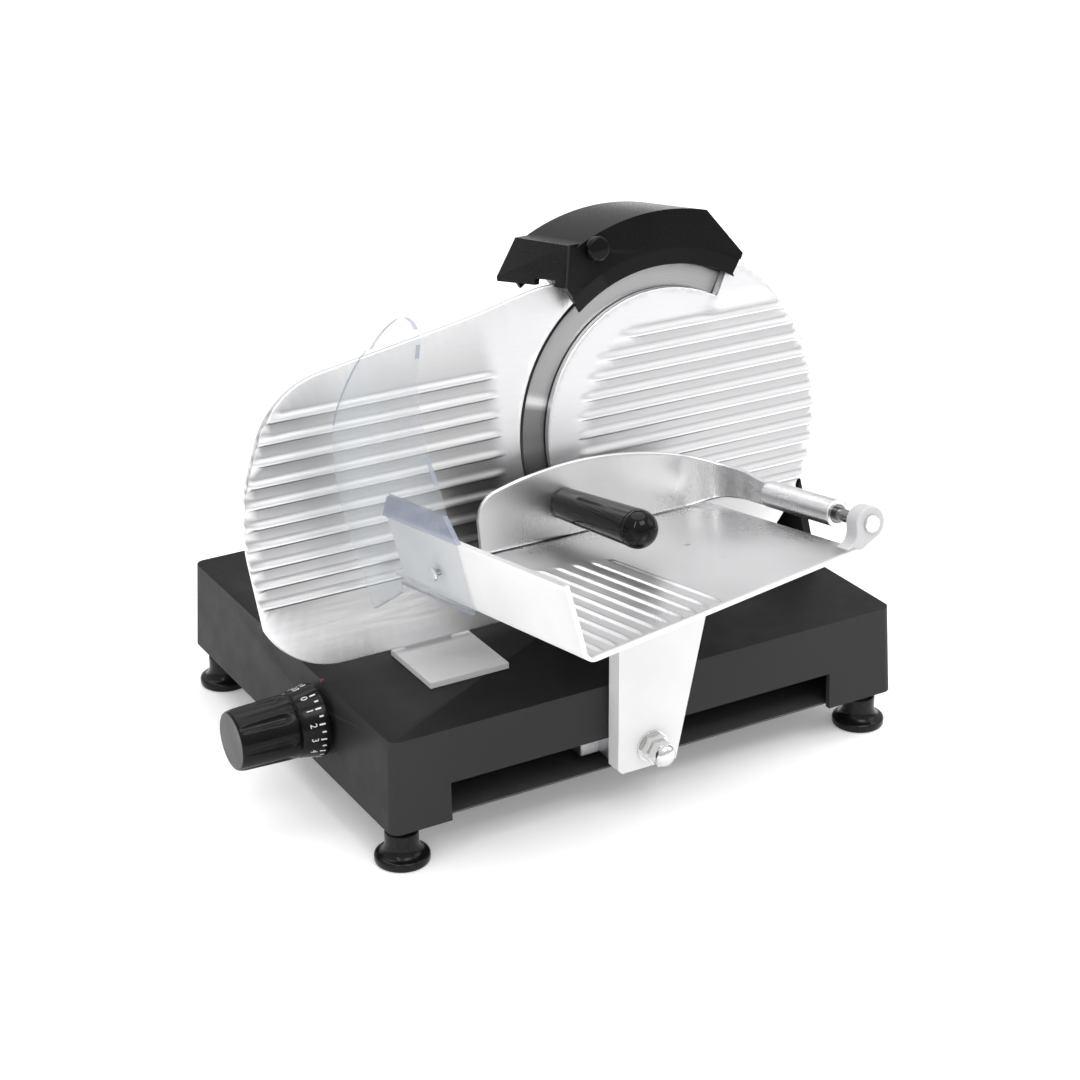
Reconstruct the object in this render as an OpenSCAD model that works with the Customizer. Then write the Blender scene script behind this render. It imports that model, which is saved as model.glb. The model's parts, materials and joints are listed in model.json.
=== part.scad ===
// Deli meat slicer with a tilted 220 mm blade, sliding carriage and thickness gauge.
// Millimetres, +Z up, origin on the bench under the centre of the base.
// Left is -X, the operator stands at -Y. The blade frame has X across, Y up the tilted
// blade plane and Z square to it, towards the operator, from the blade's centre.

/* [Base] */
// Width of the base across the top
base_w = 380; // [370:1:400]
// Depth of the base across the top
base_d = 312; // [306:1:330]
// Height of the base housing
base_h = 63; // [62:1:70]
// Extra width of the housing's lower edge on each side
base_draft = 3; // [1:0.5:4]
// Gap from the bench to the underside of the base
foot_h = 29; // [28:1:34]
// Radius of a foot's disc
foot_r = 18; // [15:1:20]

/* [Blade] */
// Outer radius of the blade
blade_r = 110; // [108:0.5:110]
// Lean of the blade plane away from the operator
blade_tilt = 10; // [9:0.5:11]
// Radius of the fixed cover in front of the blade
cover_r = 93.5; // [90:0.5:95]
// Outer radius of the ring guard and of the cover's right lobe
guard_r = 120; // [119:0.5:122]

/* [Gauge plate] */
// Distance from the blade's centre to the gauge plate's left edge
gauge_reach = 310; // [305:1:315]
// Travel of the gauge plate, the thickest slice
gauge_travel = 12; // [8:1:12]
// Number of ribs on the gauge plate
gauge_ribs = 10; // [6:1:10]

/* [Carriage] */
// Width of the tray floor
tray_w = 236; // [220:2:240]
// Depth of the tray floor at its left side
tray_d_left = 248; // [236:2:250]
// Depth of the tray floor at its right side
tray_d_right = 182; // [176:2:184]
// Height of the tray's left flange
flange_h = 45; // [36:1:50]
// Height of the pusher plate above the tray at its crown
pusher_h = 49; // [44:1:52]

/* [Thickness knob] */
// Radius of the knob's numbered skirt
skirt_r = 24; // [22:1:26]
// Radius of the knob's end
knob_r = 19.5; // [17:0.5:21]
// Turn of the knob from closed to the thickest slice, in degrees
knob_turn = 300; // [240:10:300]

/* [Hidden] */
$fn = 96;
eps = 0.01;
wall = 4;
run_fit = 0.05;
gap = 0.5;

// Heights and planes of the base
base_top = foot_h + base_h;
half_w = base_w / 2;
half_d = base_d / 2;
corner_r = 7;
foot_inset_x = 12;
foot_inset_y = 15;
bottom_cover_z = foot_h + 1;
bottom_cover_t = 1.5;

// Slot in the front wall for the carriage
notch_x0 = -151;
notch_x1 = 139;
notch_top = foot_h + 26;

// Blade centre in the part's frame
blade_x = 81;
blade_y = -38;
blade_z = base_top + 116;

// Body behind the blade, in the blade frame
plate_front = -30;
plate_t = 4;
column_back = -118;
drum_r = 104;
ring_r = 112.5;
ring_front = 0;
column_left = -84;
column_right = 105;
column_top_r = 84;

rear_screw_points = [[-70, 30], [70, 30], [-76, -60], [97, -60]];

// Drive
motor_x = 38;
motor_y = -62;
motor_r = 33;
motor_front = plate_front - plate_t;
motor_l = 58;
pulley_r = 45;
motor_pulley_r = 14;
pulley_front = -11;
pulley_w = 13;
shaft_r = 5;
spindle_r = 7.5;
bearing_r = 16;
bearing_w = 7;
tie_r = 3;
hub_r = 20;
hub_screw_pcr = 29;

// Tray and pusher, in the blade frame
tray_top = -53.7;
tray_t = 3;
tray_back = 10;
tray_left = -222;
tray_right = tray_left + tray_w;
flange_back = 36;
flange_lean = 8;
rod_x = 27;
rod_y = tray_top + 13;
rod_r = 4;
rod_back = 105;
lug_back = 178;
lug_front = 190;
push_back = 22;
push_t = 3.2;
push_left = -161;
arch_r = 260;
bend_r = 35;
sleeve_back = 76;
sleeve_l = 80;
sleeve_r = 8.8;
bush_r = 5.6;
bush_l = 48;
handle_x = -97;
handle_y = -31.5;
handle_l = 104;

// Carriage inside the base
arm_front = -171;
arm_t = 12;
arm_left = -37;
arm_bottom = 34;
arm_right_low = 7;
arm_slant = 0.212;
carriage_y = -128;
carriage_z = 50;
carriage_r = 8;
steady_z = 77;
steady_r = 5;
block_l = 64;
block_x = -15;
clamp_x = -12;
clamp_z = 49;
clamp_r = 4.5;

// Thickness gauge drive
knob_y = -56;
knob_z = base_top - 27;
cam_x = -112;
cam_t = 8;
cam_r_max = 19;
nose_r = 2.5;
support_back = -86;
nose_l = knob_y - cam_r_max - gap - support_back;
support_t = 14;
guide_x = -86;
guide_z = 56;
guide_r = 6;
slot_front = -101;
slot_back = -73;

// Sharpener, in the blade frame
sharp_front = 13.5;
sharp_back = -60;
sharp_top_r = 146;
sharp_low_r = 107;
sharp_crease_r = 127;
sharp_t = 3;
post_x = -8;
post_z = -40;
post_r = 8;
stone_y = 112;
stone_r = 17;

// ---------- helpers ----------
function arc(cx, cy, r, a0, a1, n) = [for (i = [0:n])
    let (a = a0 + (a1 - a0) * i / n) [cx + r * cos(a), cy + r * sin(a)]];

module blade_frame() {
    translate([blade_x, blade_y, blade_z]) rotate([90 - blade_tilt, 0, 0]) children();
}

// A profile drawn in (Y, Z) and extruded along X
module along_x(x0, length) {
    translate([x0, 0, 0]) rotate([90, 0, 90]) linear_extrude(length) children();
}

// A profile drawn in (X, Z) and extruded along +Y
module along_y(y0, length) {
    translate([0, y0 + length, 0]) rotate([90, 0, 0]) linear_extrude(length) children();
}

module rod_x(x0, length, y, z, r) {
    translate([x0, y, z]) rotate([0, 90, 0]) cylinder(r = r, h = length);
}

module rod_y(y0, length, x, z, r) {
    translate([x, y0, z]) rotate([-90, 0, 0]) cylinder(r = r, h = length);
}

module rounded_rect(w, d, r) {
    square([w - 2 * r, d], center = true);
    square([w, d - 2 * r], center = true);
    for (sx = [-1, 1], sy = [-1, 1])
        translate([sx * (w / 2 - r), sy * (d / 2 - r)]) circle(r = r, $fn = 32);
}

// Block between two heights that is wider at the bottom
module tapered_block(w, d, z0, z1, spread, r) {
    hull() {
        translate([0, 0, z0]) linear_extrude(eps) rounded_rect(w + 2 * spread, d + 2 * spread, r);
        translate([0, 0, z1 - eps]) linear_extrude(eps) rounded_rect(w, d, r);
    }
}

module sector(r, a0, a1) {
    polygon(concat([[0, 0]], arc(0, 0, r, a0, a1, 48)));
}

module screw(r, h, head_r, head_h) {
    cylinder(r = r, h = h + eps);
    translate([0, 0, h]) cylinder(r = head_r, h = head_h);
}

// ---------- base ----------
module base_housing() {
    color([0.09, 0.09, 0.09]) difference() {
        tapered_block(base_w, base_d, foot_h, base_top, base_draft, corner_r);
        tapered_block(base_w - 2 * wall, base_d - 2 * wall, foot_h - 1, base_top - wall,
            base_draft, corner_r - wall + 1);
        translate([notch_x0, -half_d - 10, foot_h - 1])
            cube([notch_x1 - notch_x0, 20, notch_top - foot_h + 1]);
        // slot for the gauge support
        translate([-115, slot_front, base_top - 10]) cube([22, slot_back - slot_front, 20]);
        // opening into the column for the wiring
        translate([60, 0, base_top - 10]) cube([40, 30, 20]);
        rod_x(-half_w - 10, 30, knob_y, knob_z, 8);
        for (y = [-60, -84]) rod_x(half_w - 20, 40, y, 60, 9);
        rod_y(half_d - 20, 40, 70, 58, 8);
    }
    // bosses that the feet's studs screw into
    color([0.09, 0.09, 0.09]) for (sx = [-1, 1], sy = [-1, 1])
        translate([sx * (half_w - foot_inset_x), sy * (half_d - foot_inset_y), bottom_cover_z + bottom_cover_t])
            difference() {
                cylinder(r = 8.5, h = base_top - bottom_cover_z - wall - bottom_cover_t);
                translate([0, 0, -1]) cylinder(r = 4 + run_fit, h = 21);
            }
}

module bottom_cover() {
    color("dimgray") translate([0, 0, bottom_cover_z]) difference() {
        linear_extrude(bottom_cover_t)
            rounded_rect(base_w - 2 * wall + 3, base_d - 2 * wall + 3, corner_r - wall + 1);
        for (sx = [-1, 1], sy = [-1, 1])
            translate([sx * (half_w - foot_inset_x), sy * (half_d - foot_inset_y), -1])
                cylinder(r = 4.3, h = 5);
        for (x = [-60, 0, 60], y = [40:10:90])
            translate([x - 20, y, -1]) cube([40, 4, 5]);
    }
}

module foot(sx, sy) {
    color([0.04, 0.04, 0.04])
        translate([sx * (half_w - foot_inset_x), sy * (half_d - foot_inset_y), 0]) difference() {
            rotate_extrude() polygon([[0, 0], [foot_r - 1, 0], [foot_r, 1], [foot_r, 4.5],
                [foot_r - 1.5, 6.5], [12.5, 11.5], [11, 14], [11, 21], [10, 22], [0, 22]]);
            translate([0, 0, 6]) cylinder(r = 4 + run_fit, h = 20);
        }
}

module foot_front_left() { foot(-1, -1); }
module foot_front_right() { foot(1, -1); }
module foot_rear_left() { foot(-1, 1); }
module foot_rear_right() { foot(1, 1); }

// Studs whose nuts clamp the bottom cover against the housing's bosses
module foot_studs() {
    color("silver") for (sx = [-1, 1], sy = [-1, 1])
        translate([sx * (half_w - foot_inset_x), sy * (half_d - foot_inset_y), 6]) {
            cylinder(r = 4, h = bottom_cover_z + 16 - 6);
            translate([0, 0, bottom_cover_z - 10]) cylinder(r = 7.5, h = 4, $fn = 6);
        }
}

// ---------- body behind the blade ----------
module column_outline(inset) {
    circle(r = column_top_r - inset);
    translate([column_left + inset, -160])
        square([column_right - column_left - 2 * inset, 160 - inset]);
}

module above_base(clearance) {
    difference() {
        children();
        translate([-400, -400, base_top + clearance - 400]) cube([800, 800, 400]);
    }
}

module post_hole() {
    translate([post_x, 96, post_z]) rotate([-90, 0, 0]) cylinder(r = post_r + run_fit, h = 60);
}

// Open-backed box behind the blade that the motor hangs in
module body_column() {
    color([0.08, 0.08, 0.08]) above_base(0) blade_frame() difference() {
        union() {
            translate([0, 0, column_back]) linear_extrude(plate_front - plate_t - column_back) column_outline(0);
            // seat of the sharpener post
            translate([post_x - 15, column_top_r - 3, post_z - 13]) cube([30, 29, 13 + plate_front - plate_t - post_z]);
        }
        translate([0, 0, column_back - 1])
            linear_extrude(plate_front - plate_t - column_back + 2) column_outline(wall);
        post_hole();
    }
    // bosses for the rear cover's screws
    color([0.08, 0.08, 0.08]) blade_frame() for (p = rear_screw_points)
        translate([p[0], p[1], column_back]) difference() {
            cylinder(r = 6, h = 20);
            translate([0, 0, -1]) cylinder(r = 2, h = 14);
        }
}

// Dish behind the blade with the ring guard on its right
module blade_housing() {
    color([0.08, 0.08, 0.08]) above_base(0) blade_frame() difference() {
        union() {
            translate([0, 0, plate_front - plate_t]) linear_extrude(plate_t) column_outline(0);
            translate([0, 0, plate_front - plate_t]) cylinder(r = drum_r, h = 19 + plate_t);
            translate([0, 0, plate_front - plate_t]) linear_extrude(ring_front - plate_front + plate_t)
                difference() {
                    sector(guard_r - 0.7, -102, 84);
                    circle(r = ring_r);
                }
            translate([0, 0, plate_front - plate_t]) linear_extrude(plate_t)
                sector(guard_r - 0.7, -102, 84);
            // right cheek that runs down to the base
            translate([column_right, 0, 0]) rotate([0, -90, 0]) linear_extrude(6)
                polygon([[-20, -130], [18, -130], [15, -108], [4, -58], [-20, -50]]);
        }
        // inside of the dish, open at the front
        translate([0, 0, plate_front]) cylinder(r = drum_r - wall, h = 40);
        // seat of the blade cover's lobe
        translate([0, 0, ring_front]) cylinder(r = guard_r + gap, h = 40);
        // space swept by the blade
        translate([0, 0, -9]) cylinder(r = ring_r, h = 30);
        translate([0, 0, -60]) cylinder(r = 12, h = 40);
        translate([motor_x, motor_y, -60]) cylinder(r = 10, h = 40);
        for (a = [45:90:315]) translate([motor_x + 22 * cos(a), motor_y + 22 * sin(a), -60])
            cylinder(r = 2.6, h = 40);
        post_hole();
    }
}

module rear_cover() {
    color([0.12, 0.12, 0.12]) above_base(gap) blade_frame() translate([0, 0, column_back - 3]) difference() {
        linear_extrude(3) column_outline(0);
        translate([0, 0, -1]) cylinder(r = 4, h = 6);
        for (i = [0:6]) translate([-42, -84 + 9 * i, -1]) cube([84, 4, 6]);
        for (p = rear_screw_points) translate([p[0], p[1], -1]) cylinder(r = 2.2, h = 6);
    }
}

module rear_cover_screws() {
    color("silver") blade_frame() for (p = rear_screw_points)
        translate([p[0], p[1], column_back + 12]) mirror([0, 0, 1]) screw(2, 15, 4, 2);
}

module motor() {
    color("gray") blade_frame() translate([motor_x, motor_y, motor_front - motor_l]) difference() {
        union() {
            cylinder(r = motor_r, h = motor_l);
            translate([0, 0, motor_l - eps]) cylinder(r = 9.5, h = 3);
            for (a = [0:30:330]) rotate(a) translate([motor_r - 1, -1.5, 8]) cube([2.5, 3, motor_l - 16]);
        }
        translate([0, 0, 30]) cylinder(r = shaft_r + run_fit, h = 60);
        for (a = [45:90:315]) translate([22 * cos(a), 22 * sin(a), motor_l - 6]) cylinder(r = 2.5, h = 10);
    }
}

module motor_screws() {
    color("silver") blade_frame() for (a = [45:90:315])
        translate([motor_x + 22 * cos(a), motor_y + 22 * sin(a), plate_front - plate_t - 6])
            screw(2.5, plate_t + 6, 4.5, 2.5);
}

module blade_spindle() {
    color("silver") blade_frame() difference() {
        union() {
            translate([0, 0, -46]) cylinder(r = spindle_r - run_fit, h = 41);
            translate([0, 0, plate_front - plate_t - 6]) cylinder(r = 22, h = 6);
            translate([0, 0, plate_front - plate_t]) cylinder(r = 11.5, h = plate_t + 1);
        }
        translate([0, 0, -60]) cylinder(r = tie_r + run_fit, h = 80);
    }
}

module belt_loop(extra) {
    hull() {
        circle(r = pulley_r + extra, $fn = 64);
        translate([motor_x, motor_y]) circle(r = motor_pulley_r + extra, $fn = 32);
    }
}

module drive_belt() {
    color([0.05, 0.05, 0.05]) blade_frame() translate([0, 0, pulley_front - pulley_w + 2])
        linear_extrude(pulley_w - 4) difference() {
            belt_loop(2.4);
            belt_loop(0.4);
        }
}

module cable_gland() {
    color([0.1, 0.1, 0.1]) difference() {
        union() {
            rod_y(half_d - 6, 10, 70, 58, 7.8);
            translate([70, half_d + base_draft, 58]) rotate([-90, 0, 0]) cylinder(r = 11, h = 5, $fn = 6);
            rod_y(half_d + base_draft, 11, 70, 58, 8.5);
            rod_y(half_d + base_draft, 15, 70, 58, 6.5);
        }
        rod_y(half_d - 20, 60, 70, 58, 4);
    }
}

// ---------- switch on the right end face ----------
switch_x = half_w + base_draft + 0.3;

module switch_plate() {
    color([0.2, 0.2, 0.2]) difference() {
        union() {
            translate([switch_x, -100, 45]) cube([3, 56, 30]);
            for (y = [-60, -84]) rod_x(switch_x - 12, 12 + eps, y, 60, 8.9);
            translate([switch_x - 26, -96, 46]) cube([14, 48, 28]);
        }
        for (y = [-60, -84]) rod_x(switch_x - 8, 30, y, 60, 7.5);
    }
}

module button(y) {
    rod_x(switch_x - 5, 9, y, 60, 7);
    rod_x(switch_x + 4 - eps, 1, y, 60, 6);
}

module on_button() { color([0.1, 0.55, 0.2]) button(-84); }
module off_button() { color([0.7, 0.08, 0.06]) button(-60); }

// ---------- thickness gauge ----------
module knob_bushing() {
    color("silver") difference() {
        union() {
            rod_x(-half_w - 1, 42, knob_y, knob_z, 7.9);
            rod_x(-half_w + wall + 1, 4, knob_y, knob_z, 14);
        }
        rod_x(-half_w - 10, 80, knob_y, knob_z, shaft_r + run_fit);
    }
}

module thickness_knob() {
    knob_x = -half_w - base_draft - 2;
    color([0.05, 0.05, 0.05]) translate([knob_x, knob_y, knob_z]) rotate([0, -90, 0]) difference() {
        union() {
            // numbered skirt, flared towards the base
            cylinder(r = skirt_r, h = 3);
            translate([0, 0, 3 - eps]) rotate_extrude()
                polygon([[0, 0], [skirt_r, 0], [skirt_r - 2.5, 17], [skirt_r - 4, 18], [0, 18]]);
            // grip
            translate([0, 0, 20]) rotate_extrude()
                polygon([[0, 0], [skirt_r - 2.6, 0], [skirt_r - 3, 3], [knob_r + 0.6, 34],
                    [knob_r, 38], [knob_r - 1.2, 39.2], [0, 39.2]]);
        }
        for (a = [0:45:315]) rotate(a) translate([knob_r + 5.2, 0, 24]) rotate([0, -2, 0])
            cylinder(r = 5.2, h = 36, $fn = 32);
        translate([0, 0, -1]) cylinder(r = shaft_r + run_fit, h = 26);
    }
}

module knob_shaft() {
    color("silver") rod_x(-half_w - base_draft - 25, cam_x + cam_t + 3 + half_w + base_draft + 25,
        knob_y, knob_z, shaft_r);
}

// Radius shrinks from the front by the gauge travel over the knob's turn
function cam_radius(t) = cam_r_max - gauge_travel * t / knob_turn;

module thickness_cam() {
    color("goldenrod") along_x(cam_x, cam_t) translate([knob_y, knob_z]) difference() {
        polygon([for (t = [0:6:knob_turn]) let (a = 180 + t) [cam_radius(t) * cos(a), cam_radius(t) * sin(a)]]);
        circle(r = shaft_r + run_fit);
    }
}

module gauge_outline() {
    // lower left corner, bulging left edge, upper left corner, rising top, then the blade's arc
    polygon(concat(
        arc(-gauge_reach + 56, -53.5, 56, 268, 205, 10),
        arc(-gauge_reach + 143, -20, 143, 184, 165, 8),
        arc(-gauge_reach + 72, 18, 62, 158, 98, 10),
        [[-140, 96], [-88, 106.5], [-73, 107.5]],
        arc(0, 0, ring_r - 1.5, 122, 216, 40),
        [[-96, -109.5]]
    ));
}

gauge_back = -6;
gauge_t = 4.5;

module gauge_plate() {
    color([0.82, 0.82, 0.82]) blade_frame() translate([0, 0, gauge_back]) difference() {
        union() {
            linear_extrude(gauge_t) gauge_outline();
            for (i = [0:gauge_ribs - 1]) {
                y = -61 + 13 * i;
                intersection() {
                    translate([-gauge_reach - 5, y - 3, 0])
                        cube([gauge_reach + 5 - 121, 6, gauge_t + 1.4]);
                    translate([0, 0, 0.5]) linear_extrude(10) gauge_outline();
                }
            }
        }
        for (x = [-205, -177]) translate([x, -98, -1]) cylinder(r = 2.2, h = 4);
    }
}

module gauge_foot() {
    color([0.85, 0.85, 0.85]) {
        translate([-136, -104, base_top + 0.6]) cube([57, 56, 4]);
        // upright flange behind the plate
        blade_frame() difference() {
            translate([-208, -112.3, gauge_back - 4]) cube([34, 26, 4]);
            for (x = [-205, -177]) translate([x, -98, gauge_back - 10]) cylinder(r = 2.05, h = 20);
        }
    }
}

module gauge_screws() {
    color("silver") blade_frame() for (x = [-205, -177])
        translate([x, -98, gauge_back + 3]) mirror([0, 0, 1]) screw(2, 7, 4, 2);
}

module gauge_support() {
    color("gray") difference() {
        union() {
            translate([-114, support_back - support_t, guide_z - 10]) cube([38, support_t, 27]);
            // neck through the base's roof
            translate([-112, support_back - support_t + 1, guide_z]) cube([16, support_t - 2, base_top + 0.6 - guide_z]);
            rod_y(support_back - support_t, 30, guide_x, guide_z, 9);
            // rounded nose that the cam pushes
            translate([-108, support_back - 1, knob_z]) rotate([-90, 0, 0]) rotate_extrude() polygon(concat(
                [[0, 0], [nose_r, 0]], arc(0, nose_l + 1 - nose_r, nose_r, 0, 90, 6)));
        }
        rod_y(support_back - support_t - 1, 60, guide_x, guide_z, guide_r + run_fit);
    }
}

module gauge_bracket() {
    color("dimgray") difference() {
        union() {
            translate([-74, -112, base_top - wall - 3]) cube([10, 100, 3]);
            for (y = [-112, -16]) translate([-100, y, guide_z - 10]) cube([36, 4, base_top - wall - guide_z + 10]);
        }
        rod_y(-130, 140, guide_x, guide_z, guide_r);
    }
}

module gauge_guide_rod() {
    color("silver") rod_y(-112, 100, guide_x, guide_z, guide_r);
}

// ---------- carriage drive inside the base ----------
rod_span = 336;
bracket_t = 10;

module carriage_rod() {
    color("silver") rod_x(-rod_span / 2, rod_span, carriage_y, carriage_z, carriage_r);
}

module carriage_steady_rod() {
    color("silver") rod_x(-rod_span / 2, rod_span, carriage_y, steady_z, steady_r);
}

// Blocks under the housing's roof that hold the rods' ends
module rod_brackets() {
    color("dimgray") difference() {
        for (x = [-rod_span / 2, rod_span / 2 - bracket_t])
            translate([x, carriage_y - 13, carriage_z - 10]) cube([bracket_t, 26, base_top - wall - carriage_z + 10]);
        rod_x(-half_w, base_w, carriage_y, carriage_z, carriage_r);
        rod_x(-half_w, base_w, carriage_y, steady_z, steady_r);
    }
}

module carriage_block() {
    color("gray") difference() {
        union() {
            translate([block_x - block_l / 2, carriage_y - 13, arm_bottom + 2]) cube([block_l, 26, base_top - wall - 3 - arm_bottom]);
            translate([clamp_x - 22, arm_front + arm_t, arm_bottom + 3])
                cube([36, carriage_y - 13 - arm_front - arm_t + eps, notch_top - arm_bottom - 3 - gap]);
        }
        rod_x(-200, 400, carriage_y, carriage_z, carriage_r + 3);
        rod_x(-200, 400, carriage_y, steady_z, steady_r + run_fit);
        rod_y(arm_front, 24, clamp_x, clamp_z, clamp_r);
    }
}

module carriage_bushes() {
    color("goldenrod") for (x = [block_x - block_l / 2, block_x + block_l / 2 - 18]) difference() {
        rod_x(x, 18, carriage_y, carriage_z, carriage_r + 3);
        rod_x(x - 1, 20, carriage_y, carriage_z, carriage_r + run_fit);
    }
}

module tray_underside_cut() {
    blade_frame() translate([-500, tray_top - tray_t, -500]) cube([1000, 500, 1200]);
}

module carriage_arm() {
    color([0.88, 0.88, 0.88]) difference() {
        union() {
            along_y(arm_front, arm_t) polygon([[arm_left, arm_bottom + 3], [arm_left + 3, arm_bottom],
                [arm_right_low, arm_bottom], [arm_right_low + arm_slant * 150, arm_bottom + 150],
                [arm_left, arm_bottom + 150]]);
            // seat under the tray
            blade_frame() translate([-128, tray_top - tray_t - 6, 96]) cube([84, 7, 58]);
        }
        tray_underside_cut();
        rod_y(arm_front - 1, 24, clamp_x, clamp_z, clamp_r);
        blade_frame() for (x = [-118, -54], z = [103, 146])
            translate([x, tray_top - 20, z]) rotate([-90, 0, 0]) cylinder(r = 2.5, h = 30);
    }
}

module clamp_bolt() {
    color("silver") translate([clamp_x, arm_front, clamp_z]) rotate([90, 0, 0]) {
        translate([0, 0, -22]) cylinder(r = clamp_r, h = 24);
        cylinder(r = 11, h = 1.6);
        translate([0, 0, 1.6]) cylinder(r = 10, h = 7, $fn = 6);
        translate([0, 0, 8.5]) cylinder(r = 8.6, h = 7, $fn = 6);
        translate([0, 0, 15.4]) rotate_extrude() polygon([[0, 0], [7.4, 0], [7, 2.4], [5, 4.2], [2.5, 5], [0, 5.2]]);
    }
}

// ---------- tray, guard and pusher ----------
module tray_floor_outline() {
    polygon([[tray_left, tray_back], [tray_right, tray_back],
        [tray_right, tray_back + tray_d_right - 4], [tray_right - 4, tray_back + tray_d_right + 1],
        [tray_left + 5, tray_back + tray_d_left - 0.5], [tray_left, tray_back + tray_d_left]]);
}

module meat_tray() {
    color([0.8, 0.8, 0.8]) blade_frame() difference() {
        union() {
            translate([0, tray_top, 0]) rotate([90, 0, 0]) linear_extrude(tray_t) tray_floor_outline();
            // left flange leans outwards
            translate([0, 0, flange_back]) linear_extrude(tray_back + tray_d_left - flange_back)
                polygon([[tray_left, tray_top - tray_t], [tray_left + 3, tray_top - tray_t],
                    [tray_left + 3, tray_top], [tray_left + 3 - flange_lean, tray_top + flange_h],
                    [tray_left - flange_lean, tray_top + flange_h]]);
            // ribs on the left half of the floor, square to the blade
            for (i = [0:9]) translate([tray_left + 14 + 11 * i, tray_top - eps, 66 + 2.2 * i])
                cube([5, 1.1, tray_d_left - 62 - 5.3 * i]);
            // lug that holds the rod
            translate([0, 0, lug_back]) linear_extrude(lug_front - lug_back) polygon(concat(
                [[tray_right - 6, tray_top - tray_t]], arc(rod_x, rod_y, 11, -60, 165, 20),
                [[tray_right - 2, tray_top]]));
        }
        // notch in the lug towards the sleeve
        translate([rod_x, rod_y, lug_back - 1]) cylinder(r = rod_r + run_fit, h = 60);
        for (x = [-118, -54], z = [103, 146])
            translate([x, tray_top - 20, z]) rotate([-90, 0, 0]) cylinder(r = 2.5, h = 30);
        guard_screw_axis() translate([0, 0, -15]) cylinder(r = 2.2, h = 30);
    }
}

module tray_screws() {
    color("silver") blade_frame() for (x = [-118, -54], z = [103, 146])
        translate([x, tray_top, z]) rotate([90, 0, 0]) {
            cylinder(r = 2.45, h = 13);
            translate([0, 0, 9.2]) cylinder(r = 4.5, h = 3.5, $fn = 6);
        }
}

module pusher_rod() {
    color("dimgray") blade_frame() translate([rod_x, rod_y, rod_back])
        cylinder(r = rod_r, h = lug_front - 1 - rod_back);
}

module rod_screw() {
    color("silver") blade_frame() translate([rod_x, rod_y, lug_front - 1]) {
        cylinder(r = rod_r, h = 1);
        translate([0, 0, 1]) cylinder(r = 5.5, h = 2.4);
    }
}

// Outer face of the flange at a height in the blade frame
function flange_x(y) = tray_left - flange_lean * (y - tray_top + tray_t) / (flange_h + tray_t);

guard_t = 3;
guard_back = flange_back - 2;
guard_low = tray_top - 1.3;
flange_top = tray_top + flange_h;
cheek_low = flange_top + 12.2;
cheek_x = -228.5;
guard_screw_y = tray_top + 18;
guard_screw_z = 94;

// Z runs inwards, square to the flange, from the guard's outer face
module guard_screw_axis() {
    translate([flange_x(guard_screw_y) - guard_t - 0.06, guard_screw_y, guard_screw_z])
        rotate([0, 0, atan(flange_lean / (flange_h + tray_t))]) rotate([0, 90, 0]) children();
}

// Slab of the guard that runs along the blade frame's Z
module guard_slab(x, y, length) {
    translate([x, y, guard_back]) cube([guard_t, eps, length]);
}

module hand_guard() {
    tab_x = flange_x(guard_low) - guard_t - 0.05;
    tab_top_x = flange_x(flange_top) - guard_t - 0.05;
    color([0.85, 0.88, 0.95, 0.35]) blade_frame() difference() {
        union() {
            // tab on the flange's outer face
            translate([0, 0, guard_back]) linear_extrude(96.5) polygon([[tab_x, guard_low],
                [tab_x + guard_t, guard_low], [tab_top_x + guard_t, flange_top], [tab_top_x, flange_top]]);
            // step over the flange's edge
            hull() {
                guard_slab(tab_top_x, flange_top - eps, 103);
                guard_slab(cheek_x, cheek_low, 79);
            }
            // upright cheek with a rounded end
            translate([cheek_x + guard_t, 0, 0]) rotate([0, -90, 0]) linear_extrude(guard_t) polygon([
                [guard_back, cheek_low], [113, cheek_low], [106.5, 21], [97, 37.5], [92.5, 58], [91.5, 76],
                [94, 86], [98, 97], [102, 106], [103, 110.5], [101.5, 115], [97, 119], [90, 120.8],
                [82, 120.3], [74, 117.8], [62, 112.5], [50, 106], [40, 99.5], [guard_back, 95]]);
            // wing across the gauge plate
            translate([0, 0, guard_back]) linear_extrude(guard_t) polygon([
                [cheek_x + guard_t, cheek_low], [cheek_x + guard_t, 95], [-231, 95], [-236, 90.5],
                [-241, 84.5], [-245.3, 78.5], [-249.6, 72], [-253.4, 65], [-256.2, 59.5], [-258, 53.5],
                [-259.4, 43], [-260, 32.5], [-260.2, 22], [-259.9, 12.5], [-258.8, 3], [-257.2, -6.5],
                [-254.5, -23], [-251.3, -33], [-249, -48], [-244.7, -67], [tab_x + 1, -61],
                [tab_x + 1, guard_low], [tab_top_x + 1, flange_top]]);
        }
        guard_screw_axis() translate([0, 0, -5]) cylinder(r = 2.2, h = 20);
    }
}

module guard_screw() {
    color("silver") blade_frame() guard_screw_axis() {
        translate([0, 0, -1.9]) cylinder(r = 4.2, h = 1.9);
        translate([0, 0, -1]) cylinder(r = 2.1, h = 9);
    }
}

// Plan of the pusher: straight blade face, then a bend round to the sleeve
module pusher_plan() {
    bend_x = rod_x - bend_r;
    polygon(concat(
        [[push_left, push_back], [push_left, push_back + push_t], [bend_x, push_back + push_t]],
        arc(bend_x, push_back + bend_r, bend_r - push_t, -90, -6, 14),
        [[rod_x - 3, sleeve_back + 6], [rod_x + 3, sleeve_back + 6]],
        arc(bend_x, push_back + bend_r, bend_r, 0, -90, 14)));
}

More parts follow.
